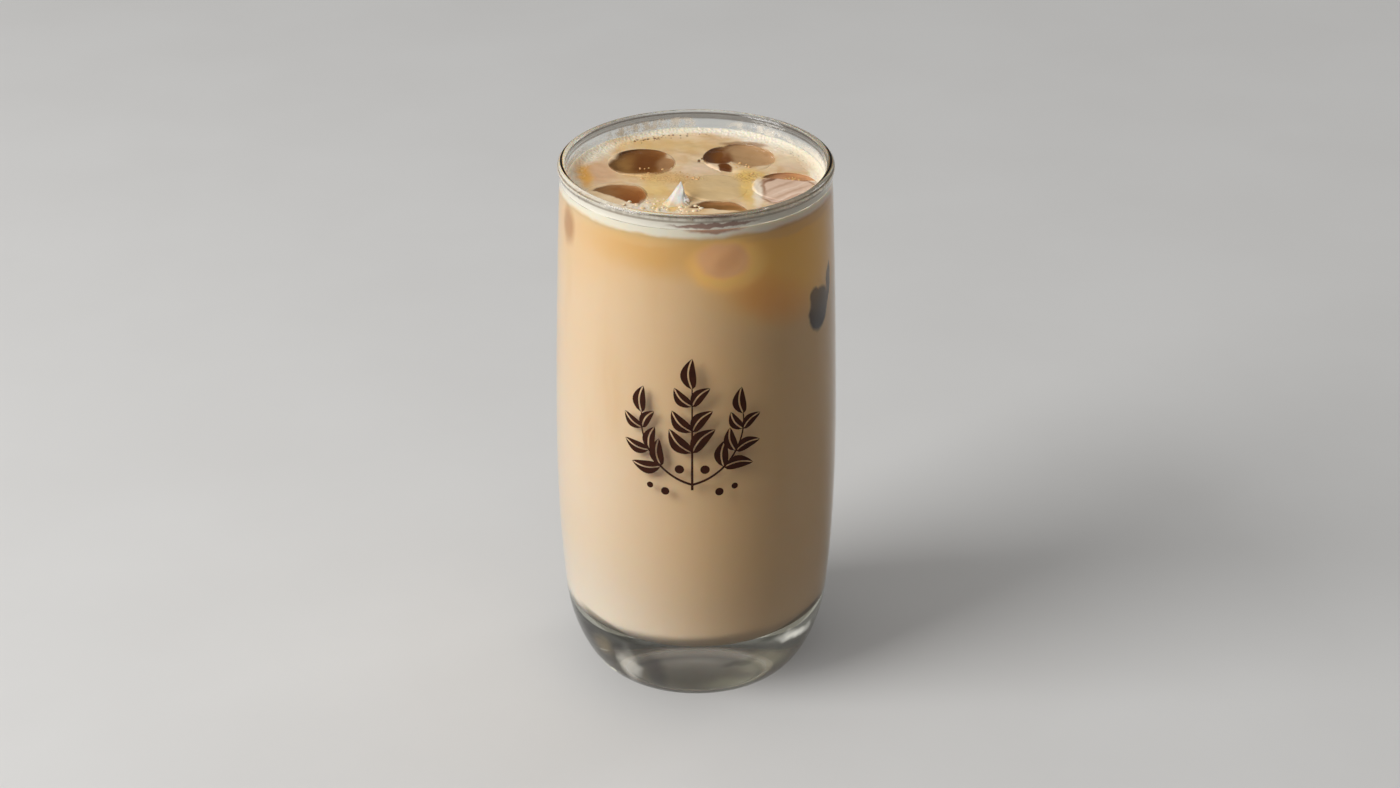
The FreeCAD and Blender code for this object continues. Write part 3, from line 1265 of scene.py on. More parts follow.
@dataclass(frozen=True)
class IceFinish:
    """Wet clear ice, veiled by a film of milky coffee apart from its windows."""

    name: str
    level: float
    windows: tuple[Patch, ...]
    ior: float = 1.31
    tint: Colour = shown(250, 242, 230)
    frost: Colour = shown(236, 222, 202)
    frost_size: float = 3.0
    dent_size: float = 4.5
    dent_depth: float = 0.25 * MM
    bend_size: float = 3.6
    bend_reach: float = 0.9
    film_foot: float = -0.35
    film_full: float = 0.05
    film_waves: float = 0.25
    film_wave_size: float = 1.8

    def material(self) -> bpy.types.Material:
        """Build the finish.

        Returns:
            The material.
        """
        shader = Shader.named(self.name)
        place = shader.millimetres()
        flat = shader.flat(shader.warped(place, self.bend_size, self.bend_reach))
        _, _, z = shader.axes(place)
        colour = DrinkTop().colour(shader)
        dents = shader.bump(shader.cloud(place, self.dent_size, 2.0), self.dent_depth)
        milky = shader.principled(Base_Color=colour, Roughness=0.2, Specular_IOR_Level=0.4, Normal=dents)
        if not self.windows:
            return shader.finished(milky)
        frosted = shader.cloud(place, self.frost_size).step(-0.2, 0.3)
        clear = shader.principled(
            Base_Color=shader.blend(frosted, self.tint, self.frost),
            Roughness=0.05,
            IOR=self.ior,
            Transmission_Weight=1.0,
            Normal=dents,
        )
        window = shader.spot(flat, self.windows[0])
        for patch in self.windows[1:]:
            window = window.highest(shader.spot(flat, patch))
        waves = shader.cloud(place, self.film_wave_size, 3.0) * self.film_waves
        height = z + waves - self.level * MM_PER_M
        film = 1.0 - window * height.step(self.film_foot, self.film_full)
        return shader.finished(shader.node("ShaderNodeMixShader", {}, {0: film, 1: clear, 2: milky}))


@dataclass(frozen=True)
class WellFinish:
    """The coffee that shows through the ice, from dark brown to milky."""

    patches: tuple[Patch, ...]
    # Dark browns, partly the coffee's own colour and partly painted shade of the depth seen through the ice.
    base: Colour = shown(164, 118, 72)
    mottle: Colour = shown(112, 70, 34)
    mottle_strength: float = 0.25
    mottle_size: float = 3.2
    bend_size: float = 3.0
    bend_reach: float = 0.8

    def material(self) -> bpy.types.Material:
        """Build the finish.

        Returns:
            The material.
        """
        shader = Shader.named("coffee_under_ice")
        place = shader.millimetres()
        flat = shader.flat(shader.warped(place, self.bend_size, self.bend_reach))
        colour = shader.painted(self.base, flat, self.patches)
        mottled = shader.cloud(place, self.mottle_size, 3.0).step(0.0, 0.3)
        surface = shader.principled(
            Base_Color=shader.blend(mottled * self.mottle_strength, colour, self.mottle),
            Roughness=0.6,
            Specular_IOR_Level=0.1,
        )
        return shader.finished(surface)


@dataclass
class IceBlock:
    """One block of ice: round, tapered downwards, melted smooth, and flat beside its neighbours.

    It stands in a direction from the middle of the glass, at a share of the reach to the wall,
    and its top dips by its tilt towards its heading. Directions are in degrees from the X axis.
    """

    node: str
    direction: float
    reach: float
    radius: float
    tilt: float
    heading: float
    windows: tuple[Patch, ...] = ()
    shades: tuple[Patch, ...] = ()
    draft: float = 3.8
    length: float = 21.0 * MM
    rounding: float = 1.0 * MM
    wall_gap: float = 0.7 * MM
    gap: float = 0.6 * MM
    crown: float = 0.08 * MM
    segments: int = 96
    steps: int = 12
    melt: float = 0.12 * MM
    melt_size: float = 5.0 * MM
    dish_depth: float = 3.0 * MM
    dish_inset: float = 0.25 * MM
    centre: Vector = field(init=False)
    top: float = field(init=False)

    def place(self, wall_radius: float) -> None:
        """Find where the block stands.

        Args:
            wall_radius: The radius of the glass's inside at the drink's surface.
        """
        distance = self.reach * (wall_radius - self.wall_gap - self.radius)
        turn = math.radians(self.direction)
        self.centre = Vector((distance * math.cos(turn), distance * math.sin(turn), 0.0))
        self.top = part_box(self.node)[1].z

    def profile(self) -> list[Point]:
        """The section of the block.

        Returns:
            Its points, from the middle of the top, at height zero, to the middle of the foot.
        """
        foot = self.radius - self.length * math.tan(math.radians(self.draft))
        flat = self.radius - self.rounding
        steps = self.steps
        cap = [(flat * step / steps, self.crown * (1.0 - (step / steps) ** 2)) for step in range(steps)]
        rim = arc_points((flat, -self.rounding), (self.rounding,) * 2, 90.0, 0.0, steps)
        run = self.length - 2.0 * self.rounding
        side = [
            (self.radius + (foot - self.radius) * step / steps, -self.rounding - run * step / steps)
            for step in range(1, steps)
        ]
        low_centre = (foot - self.rounding, self.rounding - self.length)
        low_rim = arc_points(low_centre, (self.rounding,) * 2, 0.0, -90.0, steps)
        return [*cap, *rim, *side, *low_rim, (0.0, -self.length)]

    def dish(self) -> list[Point]:
        """The section of the shallow dish that the drink leaves free under the block's top.

        Returns:
            Its points, from the middle over the brim to the middle of the hollow.
        """
        brim = self.radius - 2.0 * self.dish_inset
        edge = -self.rounding
        radii = (self.radius - self.dish_inset, self.dish_depth + edge)
        hollow = arc_points((0.0, edge), radii, 0.0, -90.0, self.steps)
        return [(0.0, self.rounding), (brim, self.rounding), (brim, edge / 2.0), *hollow]

    def turned(self, profile: Sequence[Point], segments: int) -> bmesh.types.BMesh:
        """A profile turned round, melted uneven, tilted and put in the block's place.

        Args:
            profile: The profile.
            segments: Steps round it.

        Returns:
            The mesh.
        """
        bm = lathe(profile, segments)
        for vert in bm.verts:
            vert.co += noise.noise_vector((vert.co + self.centre * 3.0) / self.melt_size) * self.melt
        turn = math.radians(self.heading + 90.0)
        axis = Vector((math.cos(turn), math.sin(turn), 0.0))
        tilted = Matrix.Rotation(math.radians(self.tilt), 3, axis)
        bmesh.ops.rotate(bm, cent=(0, 0, 0), matrix=tilted, verts=bm.verts)
        return bm

    def lifted(self, bm: bmesh.types.BMesh, peak: float) -> bmesh.types.BMesh:
        """Move a mesh from round the block's own middle to its place in the glass."""
        bmesh.ops.translate(bm, vec=(self.centre.x, self.centre.y, self.top - peak), verts=bm.verts)
        return bm

    def build(self, level: float, others: Iterable["IceBlock"]) -> bpy.types.Object:
        """Model the block and put it in the frame.

        Args:
            level: The height of the drink's surface.
            others: The other blocks, beside which this one has melted flat.

        Returns:
            The piece.
        """
        bm = self.turned(self.profile(), self.segments)
        bm = self.lifted(bm, max(vert.co.z for vert in bm.verts))
        for other in others:
            self.flatten(bm, other)
        material = IceFinish(f"{self.node}_wet", level, self.windows).material()
        piece = piece_from(bm, f"{self.node}_block", material)
        pass_light(piece)
        return settle(piece, "ice", self.node)

    def flatten(self, bm: bmesh.types.BMesh, other: "IceBlock") -> None:
        """Cut the block off flat at half the way to a neighbour that it would come too near.

        Args:
            bm: The block's mesh.
            other: The neighbour.
        """
        towards = other.centre - self.centre
        share = (self.radius + towards.length - other.radius - self.gap) / 2.0
        geom = [*bm.verts, *bm.edges, *bm.faces]
        plane = self.centre + towards.normalized() * share
        bmesh.ops.bisect_plane(bm, geom=geom, plane_co=plane, plane_no=towards, clear_outer=True)
        bmesh.ops.holes_fill(bm, edges=[edge for edge in bm.edges if edge.is_boundary])

    def cutter(self, well: bpy.types.Material) -> bpy.types.Object:
        """The shape of the dish.

        Args:
            well: The finish of the walls that it cuts.

        Returns:
            A loose object, to be removed after cutting.
        """
        segments = self.segments // 2
        block = self.turned(self.profile(), segments)
        peak = max(vert.co.z for vert in block.verts)
        block.free()
        room = self.lifted(self.turned(self.dish(), segments), peak)
        return piece_from(room, f"{self.node}_room", well)


def make_blocks() -> list[IceBlock]:
    """List the ice.

    Returns:
        The six blocks, with the windows in their veils and the shades seen through them.
    """
    return [
        IceBlock(
            "ice_back_left", 144.0, 0.76, 8.6 * MM, 1.5, 205.0,
            windows=(
                Patch((-13.2, 8.0), (8.6, 5.8), shown(150, 102, 48), 1.0, 0.0, 0.14),
                Patch((-13.2, 12.6), (6.4, 6.6), shown(134, 88, 36), 1.0, 0.0, 0.14),
            ),
            shades=(
                Patch((-18.6, 8.6), (3.4, 5.8), shown(176, 130, 70), 0.9, -8.0, 0.7),
                Patch((-12.0, 11.0), (3.6, 6.6), shown(112, 64, 16), 0.95, 0.0, 0.6),
                Patch((-7.0, 8.8), (2.2, 5.2), shown(160, 122, 84), 0.9, 10.0, 0.4),
            ),
        ),
        IceBlock(
            "ice_back_right", 50.0, 0.78, 9.3 * MM, 1.5, 20.0,
            windows=(
                Patch((5.6, 13.6), (4.6, 5.6), shown(140, 86, 28), 1.0, -12.0, 0.12),
                Patch((7.0, 6.0), (1.9, 3.0), shown(110, 56, 10), 1.0, 8.0, 0.2),
                Patch((13.6, 15.0), (7.0, 8.2), shown(186, 150, 108), 1.0, 14.0, 0.08),
            ),
            shades=(
                Patch((7.4, 11.6), (1.6, 6.4), shown(124, 68, 14), 0.9, -2.0, 0.5),
                Patch((2.6, 12.0), (1.8, 2.8), shown(136, 90, 58), 0.9, 0.0, 0.6),
                Patch((17.4, 11.6), (2.8, 5.6), shown(190, 154, 114), 0.8, 0.0, 0.7),
            ),
        ),
        IceBlock(
            "ice_front_left", 208.0, 1.0, 8.3 * MM, 2.5, 215.0,
            windows=(Patch((-19.4, -11.8), (7.2, 7.8), shown(152, 100, 50), 1.0, -40.5, 0.1, 0.0),),
            shades=(
                Patch((-22.0, -6.6), (3.4, 2.0), shown(160, 118, 74), 0.8, -20.0, 0.8),
                Patch((-15.6, -11.2), (3.4, 4.4), shown(136, 78, 30), 0.8, 0.0, 0.8),
            ),
        ),
        IceBlock(
            "ice_right", -13.0, 1.0, 8.4 * MM, 2.0, -70.0,
            windows=(Patch((22.4, -4.0), (7.0, 8.0), shown(196, 146, 98), 1.0, -8.0, 0.08, 0.3),),
            shades=(
                Patch((27.4, -0.4), (2.4, 3.6), shown(206, 160, 120), 0.8, 0.0, 0.7),
                Patch((20.0, 1.6), (3.0, 1.2), shown(196, 146, 108), 0.8, 30.0, 0.6),
            ),
        ),
        IceBlock(
            "ice_front", -78.0, 1.0, 8.4 * MM, 1.5, -78.0,
            windows=(
                Patch((5.4, -20.2), (7.2, 5.4), shown(138, 98, 50), 1.0, -8.0, 0.1, 0.16),
                Patch((4.4, -27.0), (7.4, 2.4), shown(138, 98, 70), 1.0, 6.0, 0.2),
            ),
            shades=(Patch((5.2, -18.6), (6.4, 1.4), shown(178, 136, 88), 0.8, 0.0, 0.8),),
        ),
        IceBlock("ice_centre", -49.0, 0.33, 8.4 * MM, 1.0, 10.0),
    ]


# --------------------------------------------------------------------------- the drink


@dataclass
class Coffee:
    """The body of the drink, from the bowl up to the underside of the foam."""

    shape: TumblerShape
    segments: int = 160
    corner_steps: int = 20
    side_steps: int = 60
    edge_above_bowl: float = 1.4
    edge_fade: float = 0.5
    upright_top: float = 34.0
    upright_full: float = 20.0

    def material(self, foam_line: float) -> bpy.types.Material:
        """Build the finish: milky coffee, its rounded bottom as bright as the thick glass shows it.

        Args:
            foam_line: The height of the foam's underside.

        Returns:
            The material.
        """
        shader = Shader.named("milky_coffee")
        place = shader.millimetres()
        _, _, z = shader.axes(place)
        bowl_bottom = self.shape.base_thickness * MM_PER_M
        edge = bowl_bottom + self.edge_above_bowl
        side = DrinkSide(foam_line * MM_PER_M, bowl_bottom)
        low = z.step(self.upright_top, self.upright_full)
        surface = shader.principled(
            # Painted light at the bottom and painted shade under it, in the side's colour.
            Base_Color=side.colour(shader),
            # Painted glow near the ice.
            Emission_Color=side.painted_light_through(shader),
            Emission_Strength=1.0,
            Roughness=0.45,
            Specular_IOR_Level=0.1,
            Subsurface_Weight=0.5,
            Subsurface_Radius=MILKY_SPREAD,
            Subsurface_Scale=2.0 * MM,
            Normal=shader.upright(place, low * z.step(edge, edge + self.edge_fade)),
        )
        return shader.finished(surface)

    def build(self, cutters: Sequence[bpy.types.Object]) -> bpy.types.Object:
        """Model the coffee and put it in the frame.

        Args:
            cutters: The room that the ice takes.

        Returns:
            The piece.
        """
        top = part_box("milk_foam")[0].z
        shape = self.shape
        wall = []
        for height in shape.heights(
            shape.base_thickness, shape.bowl_height, top, self.corner_steps, self.side_steps
        ):
            radius = shape.inner(height)
            near_middle = radius < shape.foot_radius
            outwards = BITE * min(1.0, radius / shape.foot_radius)
            wall.append((radius + outwards, height - (BITE if near_middle else 0.0)))
        piece = piece_from(lathe([*wall, (0.0, top)], self.segments), "coffee_body", self.material(top))
        carve(piece, cutters)
        return settle(piece, "coffee", "coffee")


@dataclass
class Foam:
    """The thin foam layer: a band against the glass and the uneven surface of the drink."""

    shape: TumblerShape
    segments: int = 384
    rings: int = 96
    meniscus_width: float = 2.4 * MM
    meniscus_height: float = 0.7 * MM
    swell: float = 0.12 * MM
    swell_size: float = 5.0 * MM
    side_blur: float = 0.05
    froth_inside: float = 26.0
    froth_full: float = 30.0
    froth_waves: float = 5.0
    froth_wave_size: float = 4.0
    froth_depth: float = 0.25 * MM
    froth_cells: float = 1.5

    def material(self, level: float, foam_line: float) -> bpy.types.Material:
        """Build the finish: wet and smooth in the middle, frothy at the edge.

        Args:
            level: The height of the drink's surface.
            foam_line: The height of the foam's underside.

        Returns:
            The material.
        """
        shader = Shader.named("foamy_surface")
        place = shader.millimetres()
        radius = shader.length(shader.flat(place))
        wall = self.shape.inner(level) * MM_PER_M
        side = radius.step(wall - self.side_blur, wall + self.side_blur)
        above = DrinkTop().colour(shader)
        beside = DrinkSide(foam_line * MM_PER_M, self.shape.base_thickness * MM_PER_M).colour(shader)
        cells = {"Vector": place, "Scale": self.froth_cells}
        fine = shader.node("ShaderNodeTexVoronoi", {"feature": "SMOOTH_F1"}, cells, "Distance")
        edge = radius + shader.cloud(place, self.froth_wave_size) * self.froth_waves
        froth = edge.step(self.froth_inside, self.froth_full) * (1.0 - side)
        surface = shader.principled(
            Base_Color=shader.blend(side, above, beside),
            Roughness=froth * 0.25 + 0.2,
            Specular_IOR_Level=0.4,
            Subsurface_Weight=0.4,
            Subsurface_Radius=MILKY_SPREAD,
            Subsurface_Scale=1.5 * MM,
            Normal=shader.bump(fine * froth, self.froth_depth),
        )
        return shader.finished(surface)

    def build(self, level: float, cutters: Sequence[bpy.types.Object]) -> bpy.types.Object:
        """Model the foam and put it in the frame.

        Args:
            level: The height of the drink's surface.
            cutters: The room that the ice takes.

        Returns:
            The piece.
        """
        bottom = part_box("milk_foam")[0].z
        edge = self.shape.inner(level) + BITE
        climb = edge - self.meniscus_width
        top = []
        for step in range(self.rings + 1):
            radius = edge * (1.0 - step / self.rings)
            share = max(0.0, (radius - climb) / self.meniscus_width)
            top.append((radius, level + self.meniscus_height * share**2))
        profile = [(0.0, bottom), (self.shape.inner(bottom) + BITE, bottom), *top]
        material = self.material(level, bottom)
        piece = piece_from(lathe(profile, self.segments), "foam_surface", material)
        carve(piece, cutters)
        self.ripple(piece, level)
        return settle(piece, "milk_foam", "milk_foam")

    def ripple(self, piece: bpy.types.Object, level: float) -> None:
        """Make the top uneven.

        Args:
            piece: The piece.
            level: The height of its top.
        """
        for vert in piece.data.vertices:
            if vert.co.z < level - self.swell:
                continue
            flat = Vector((vert.co.x, vert.co.y, 0.0))
            vert.co.z += self.swell * noise.fractal(flat / self.swell_size, 1.0, 2.0, 3)


# --------------------------------------------------------------------------- bubbles and the shard


@dataclass(frozen=True)
class Cluster:
    """Bubbles scattered over an oval, in millimetres from the middle of the drink."""

    centre: Point
    radii: Point
    turn: float
    count: int
    smallest: float
    largest: float
    tries: int = 12
    closest: float = 0.85
    rarity: float = 2.2

    def scatter(self, rng: random.Random) -> list[Spot]:
        """Place the bubbles so that none sits deep in another.

        Args:
            rng: The source of chance.

        Returns:
            Each bubble's place and radius.
        """
        placed: list[Spot] = []
        turn = math.radians(self.turn)
        for _ in range(self.count * self.tries):
            if len(placed) == self.count:
                break
            angle = rng.uniform(0.0, math.tau)
            share = math.sqrt(rng.random())
            across = self.radii[0] * share * math.cos(angle)
            along = self.radii[1] * share * math.sin(angle)
            x = self.centre[0] + across * math.cos(turn) - along * math.sin(turn)
            y = self.centre[1] + across * math.sin(turn) + along * math.cos(turn)
            radius = self.smallest + (self.largest - self.smallest) * rng.random() ** self.rarity
            if all(math.hypot(x - px, y - py) > self.closest * (radius + pr) for px, py, pr in placed):
                placed.append((x, y, radius))
        return placed


@dataclass(frozen=True)
class Arc:
    """Bubbles strung along the edge of the froth, in millimetres and degrees."""

    radius: float
    spread: float
    start: float
    end: float
    count: int
    smallest: float
    largest: float
    rarity: float = 1.6

    def scatter(self, rng: random.Random) -> list[Spot]:
        """Place the bubbles.

        Args:
            rng: The source of chance.

        Returns:
            Each bubble's place and radius.
        """
        placed = []
        for _ in range(self.count):
            turn = math.radians(rng.uniform(self.start, self.end))
            reach = self.radius + rng.uniform(-self.spread, self.spread)
            radius = self.smallest + (self.largest - self.smallest) * rng.random() ** self.rarity
            placed.append((reach * math.cos(turn), reach * math.sin(turn), radius))
        return placed


@dataclass(frozen=True)
class BubbleFinish:
    """The wet skin of a bubble, with uneven colour."""

    name: str
    light: Colour
    dark: Colour
    roughness: float = 0.12
    blotch_size: float = 0.8

    def material(self) -> bpy.types.Material:
        """Build the finish.

        Returns:
            The material.
        """
        shader = Shader.named(self.name)
        shade = shader.cloud(shader.millimetres(), self.blotch_size, 2.0).step(-0.2, 0.25)
        surface = shader.principled(
            Base_Color=shader.blend(shade, self.light, self.dark),
            Roughness=shade * 0.1 + self.roughness,
            Subsurface_Weight=0.3,
            Subsurface_Scale=0.5 * MM,
        )
        return shader.finished(surface)


@dataclass
class Bubbles:
    """One kind of bubble on top of the drink, all its groups in one piece."""

    name: str
    finish: BubbleFinish
    groups: tuple[Cluster | Arc, ...]
    seed: int
    flat: float = 0.6
    sunk: float = 0.45

    def build(self, level: float, blocks: Sequence[IceBlock]) -> bpy.types.Object:
        """Model the bubbles and put them in the frame.

        Args:
            level: The height of the drink's surface.
            blocks: The ice, on which some of them sit.

        Returns:
            The piece.
        """
        rng = random.Random(self.seed)
        bm = bmesh.new()
        for group in self.groups:
            for x, y, radius in group.scatter(rng):
                size = radius * MM
                floor = self.floor(x * MM, y * MM, level, blocks)
                centre = Vector((x * MM, y * MM, floor - self.sunk * size * self.flat))
                matrix = Matrix.Translation(centre) @ Matrix.Diagonal((size, size, size * self.flat, 1.0))
                bmesh.ops.create_icosphere(bm, subdivisions=2, radius=1.0, matrix=matrix)
        return settle(piece_from(bm, self.name, self.finish.material()), "milk_foam")

    @staticmethod
    def floor(x: float, y: float, level: float, blocks: Sequence[IceBlock]) -> float:
        """The height of what a bubble sits on.

        Args:
            x: Its place to the right.
            y: Its place to the back.
            level: The height of the drink's surface.
            blocks: The ice.

        Returns:
            The height.
        """
        for block in blocks:
            if math.hypot(x - block.centre.x, y - block.centre.y) < block.radius - block.rounding:
                return max(level, block.top - block.crown)
        return level


def make_bubbles() -> list[Bubbles]:
    """List the bubbles.

    Returns:
        The dark pinpricks at the back, the golden froth in the middle and the white in front.
    """
    return [
        Bubbles(
            "dark_bubbles",
            BubbleFinish("dark_bubble", shown(128, 84, 40), shown(84, 50, 22)),
            (
                Arc(27.9, 0.8, 82.0, 124.0, 34, 0.14, 0.40),
                Arc(26.6, 0.6, 98.0, 122.0, 10, 0.12, 0.26),
                Arc(28.4, 0.8, 22.0, 60.0, 12, 0.10, 0.22),
                Cluster((1.4, 11.6), (1.3, 1.5), 0.0, 4, 0.4, 0.8),
                Cluster((-7.0, 1.6), (8.5, 2.6), -10.0, 10, 0.12, 0.26),
            ),
            seed=3,
        ),
        Bubbles(
            "golden_bubbles",
            BubbleFinish("golden_bubble", shown(230, 190, 130), shown(206, 158, 96)),
            (
                Cluster((-7.0, 1.4), (9.5, 3.4), -10.0, 16, 0.22, 0.6),
                Cluster((12.4, 0.8), (3.0, 3.4), 20.0, 12, 0.22, 0.6),
                Cluster((-13.0, 5.4), (1.6, 0.5), 0.0, 4, 0.2, 0.4),
                Cluster((10.6, 7.2), (2.6, 1.6), -20.0, 10, 0.25, 0.6),
                Cluster((24.0, -1.2), (2.6, 0.7), 0.0, 7, 0.2, 0.4),
            ),
            seed=5,
        ),
        Bubbles(
            "white_bubbles",
            BubbleFinish("white_bubble", shown(240, 222, 192), shown(230, 198, 150), 0.7),
            (
                Cluster((-10.6, -19.6), (8.6, 3.6), -28.0, 26, 0.4, 1.4),
                Cluster((-8.8, -13.4), (3.0, 2.4), -20.0, 10, 0.3, 0.9),
                Cluster((-1.6, -18.6), (3.0, 2.2), 0.0, 12, 0.3, 0.9),
                Arc(29.2, 1.1, 10.0, 170.0, 90, 0.10, 0.24),
                Arc(28.2, 1.4, 195.0, 255.0, 50, 0.10, 0.26),
                Arc(28.2, 1.4, 292.0, 350.0, 40, 0.10, 0.26),
            ),
            seed=8,
        ),
    ]


@dataclass
class Shard:
    """A sliver of ice that stands out of the foam, leaning back, wet with milk."""

    base: Point = (-4.4 * MM, -15.0 * MM)
    tip: Point = (-3.6 * MM, -10.6 * MM)
    sunk: float = 0.6 * MM
    height: float = 3.8 * MM
    radius: float = 4.4 * MM
    point: float = 0.06
    depth: float = 0.72
    edge: float = 0.25 * MM
    waist: float = 0.22
    lean_power: float = 1.6
    crumple: float = 0.75 * MM
    crumple_size: float = 1.6 * MM
    crumple_fade: float = 0.7
    frost_size: float = 2.0
    wet_top: float = 1.4
    wet_full: float = 0.2
    wet_waves: float = 1.5
    light: Colour = shown(238, 232, 220)
    shade: Colour = shown(214, 212, 204)
    warm: Colour = shown(232, 206, 168)

    def material(self, level: float) -> bpy.types.Material:
        """Build the finish: cold white, warm where the drink wets its foot.

        Args:
            level: The height of the drink's surface.

        Returns:
            The material.
        """
        shader = Shader.named("wet_shard")
        place = shader.millimetres()
        _, _, z = shader.axes(place)
        frosted = shader.cloud(place, self.frost_size, 3.0).step(-0.1, 0.2)
        cold = shader.blend(frosted, self.light, self.shade)
        waves = shader.cloud(place, self.frost_size) * self.wet_waves
        foot = (z - level * MM_PER_M + waves).step(self.wet_top, self.wet_full)
        surface = shader.principled(
            Base_Color=shader.blend(foot, cold, self.warm),
            Roughness=foot * 0.1 + 0.1,
            Subsurface_Weight=0.5,
            Subsurface_Scale=1.0 * MM,
            Coat_Weight=0.7,
        )
        return shader.finished(surface)

    def build(self, level: float) -> bpy.types.Object:
        """Model the shard and put it in the frame.

        Args:
            level: The height of the drink's surface.

        Returns:
            The piece.
        """
        bm = bmesh.new()
        tall = self.height + self.sunk
        flattened = Matrix.Diagonal((1.0, self.depth, 1.0, 1.0))
        bmesh.ops.create_cone(
            bm,
            cap_ends=True,
            segments=5,
            radius1=self.radius,
            radius2=self.radius * self.point,
            depth=tall,
            matrix=Matrix.Translation((0.0, 0.0, tall / 2.0)) @ flattened,
        )
        bmesh.ops.bevel(
            bm,
            geom=bm.edges[:],
            offset=self.edge,
            offset_type="OFFSET",
            affect="EDGES",
            segments=2,
            profile=0.5,
            material=-1,
        )
        bmesh.ops.subdivide_edges(bm, edges=bm.edges, cuts=3, use_grid_fill=True)
        lean = (Vector(self.tip) - Vector(self.base)).to_3d()
        for vert in bm.verts:
            share = vert.co.z / tall
            waist = 1.0 - self.waist * math.sin(math.pi * min(1.0, share))
            vert.co.x *= waist
            vert.co.y *= waist
            vert.co += lean * share**self.lean_power
            crumpled = noise.noise_vector(vert.co / self.crumple_size) * self.crumple
            vert.co += crumpled * (1.0 - share * self.crumple_fade)
        bmesh.ops.translate(bm, vec=(*self.base, level - self.sunk), verts=bm.verts)
        bmesh.ops.triangulate(bm, faces=bm.faces)
        bmesh.ops.recalc_face_normals(bm, faces=bm.faces)
        return settle(piece_from(bm, "ice_shard", self.material(level)), "ice")


# --------------------------------------------------------------------------- the studio


@dataclass(frozen=True)
class Lamp:
    """A soft square lamp, by its direction round from the front, its height and its distance."""

    name: str
    direction: float
    rise: float
    distance: float
    size: float
    power: float

    def hang(self, aim: Vector) -> None:
        """Hang the lamp.

        Args:
            aim: What it points at.
        """
        turn, rise = math.radians(self.direction), math.radians(self.rise)
        towards = Vector((math.sin(turn) * math.cos(rise), -math.cos(turn) * math.cos(rise), math.sin(rise)))
        data = bpy.data.lights.new(self.name, "AREA")
        data.shape = "SQUARE"
        data.size = self.size
        data.energy = self.power
        holder = linked(self.name, data)
        holder.location = aim + towards * self.distance
        holder.rotation_euler = (-towards).to_track_quat("-Z", "Y").to_euler()


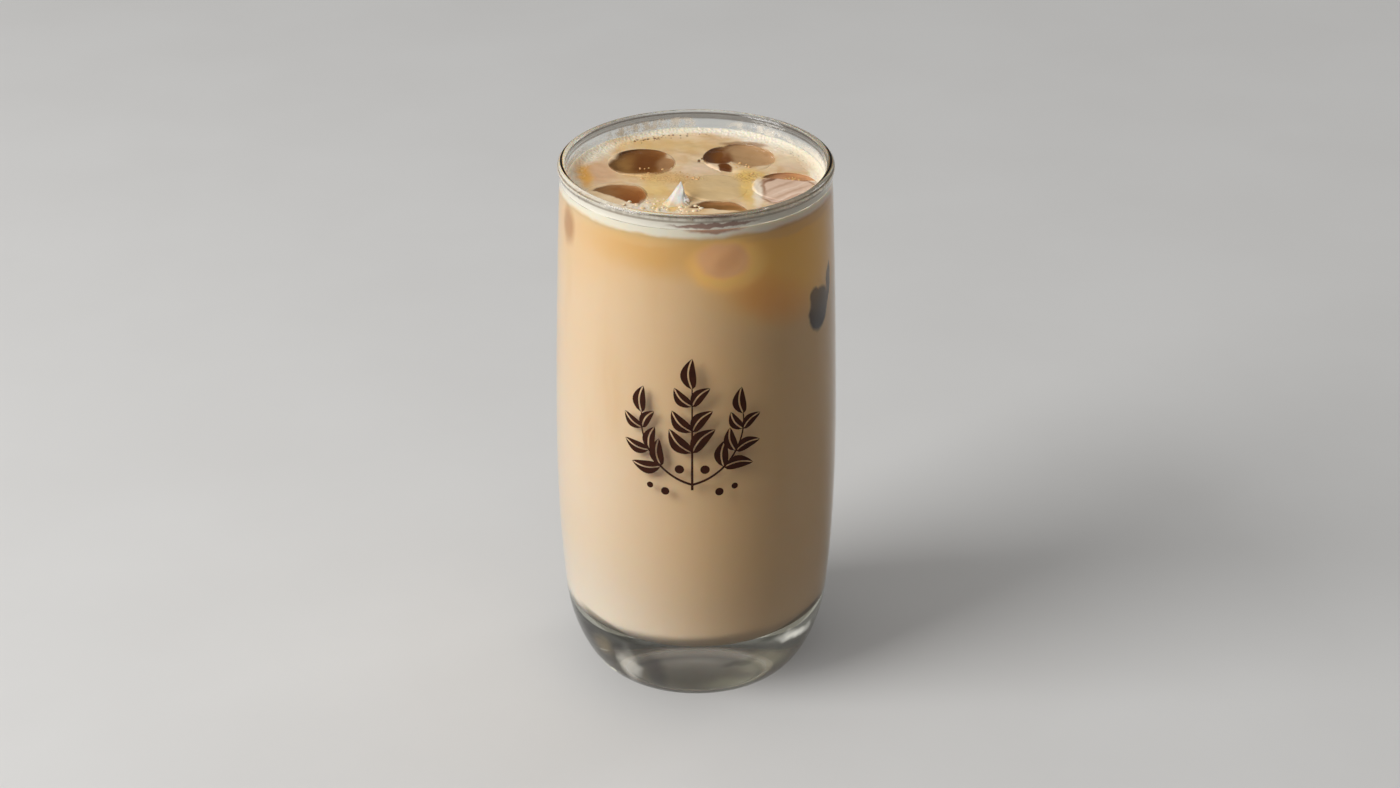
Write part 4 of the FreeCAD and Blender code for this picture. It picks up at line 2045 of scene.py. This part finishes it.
@dataclass
class Studio:
    """A plain pale floor, soft lamps, the world and the camera."""

    lens: float = 75.52
    sensor: float = 36.0
    distance: float = 0.737
    down: float = 27.383
    aim_share: float = 0.5363
    aim_side: float = 0.96 * MM
    floor_size: float = 8.0
    floor: Colour = shown(214, 213, 211)
    floor_mottle: Colour = shown(202, 200, 197)
    floor_bounce: Colour = shown(124, 122, 120)
    mottle_size: float = 60.0
    mottle_strength: float = 0.25
    lamps: tuple[Lamp, ...] = (
        Lamp("key", -66.0, 32.0, 1.35, 0.8, 18.0),
        Lamp("edge", 128.0, 30.0, 1.2, 0.35, 1.2),
    )
    sky_low: float = 0.2
    sky_band: float = 0.10
    sky_high: float = 0.7
    sky_side: float = 0.7
    band_from: Point = (0.06, 0.2)
    high_from: Point = (0.5, 0.85)
    side_from: Point = (-0.2, 0.9)

    def build(self, height: float) -> None:
        """Set up everything around the object.

        Args:
            height: The object's height.
        """
        self.lay_floor()
        for lamp in self.lamps:
            lamp.hang(Vector((0.0, 0.0, height / 2.0)))
        self.light_sky()
        self.place_camera(height)
        bpy.context.scene.view_settings.view_transform = "Standard"

    def lay_floor(self) -> None:
        """Lay the floor, which throws back less light on the object than it shows."""
        shader = Shader.named("pale_floor")
        mottle = shader.cloud(shader.millimetres(), self.mottle_size, 4.0).step(-0.3, 0.3)
        shade = shader.blend(mottle * self.mottle_strength, self.floor, self.floor_mottle)
        seen = shader.node("ShaderNodeLightPath", {}, {}, "Is Camera Ray")
        for ray in ("Is Glossy Ray", "Is Transmission Ray"):
            seen = seen.highest(shader.node("ShaderNodeLightPath", {}, {}, ray))
        bm = bmesh.new()
        bmesh.ops.create_grid(bm, x_segments=2, y_segments=2, size=self.floor_size / 2.0)
        surface = shader.principled(
            Base_Color=shader.blend(seen, self.floor_bounce, shade), Roughness=0.8, Specular_IOR_Level=0.2
        )
        floor = piece_from(bm, "pale_floor", shader.finished(surface))

    def light_sky(self) -> None:
        """Set the world: pale low down and overhead, darker to the right, with a dark band between."""
        shader = Shader(bpy.data.worlds.new("studio"))
        towards = shader.node("ShaderNodeTexCoord", {}, {}, "Generated")
        right, _, up = shader.axes(towards)
        strength = up.step(*self.band_from) * (self.sky_band - self.sky_low) + self.sky_low
        strength = strength + up.step(*self.high_from) * (self.sky_high - self.sky_band)
        strength = strength * (1.0 - right.step(*self.side_from) * self.sky_side)
        sky = shader.node("ShaderNodeBackground", {}, {"Color": WHITE, "Strength": strength})
        bpy.context.scene.world = shader.finished(sky)

    def place_camera(self, height: float) -> None:
        """Place the camera.

        Args:
            height: The object's height.
        """
        data = bpy.data.cameras.new("camera")
        data.lens = self.lens
        data.sensor_width = self.sensor
        camera = linked("camera", data)
        down = math.radians(self.down)
        aim = Vector((self.aim_side, 0.0, height * self.aim_share))
        camera.location = aim + Vector((0.0, -math.cos(down), math.sin(down))) * self.distance
        camera.rotation_euler = (math.radians(90.0) - down, 0.0, 0.0)
        bpy.context.scene.camera = camera


def main() -> None:
    """Build every piece in order."""
    logging.basicConfig(level=logging.INFO, format="%(name)s %(message)s")
    noise.seed_set(NOISE_SEED)
    low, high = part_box("tumbler")
    shape = TumblerShape(height=high.z, belly_radius=(high.x - low.x) / 2.0)
    Studio().build(shape.height)
    Tumbler(shape).build()
    Sprig(shape).build()
    foam = Foam(shape)
    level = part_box("milk_foam")[1].z - foam.meniscus_height
    MilkStain(shape).build(level)
    blocks = make_blocks()
    for block in blocks:
        block.place(shape.inner(level))
    seen = [patch for block in blocks for patch in (*block.windows, *block.shades)]
    well = WellFinish(tuple(replace(patch, cut=None) for patch in seen)).material()
    cutters = [block.cutter(well) for block in blocks if block.windows]
    Coffee(shape).build(cutters)
    foam.build(level, cutters)
    for cutter in cutters:
        bpy.data.objects.remove(cutter)
    for block in blocks:
        block.build(level, [other for other in blocks if other is not block])
    for bubbles in make_bubbles():
        bubbles.build(level, blocks)
    Shard().build(level)


if __name__ == "__main__":
    main()
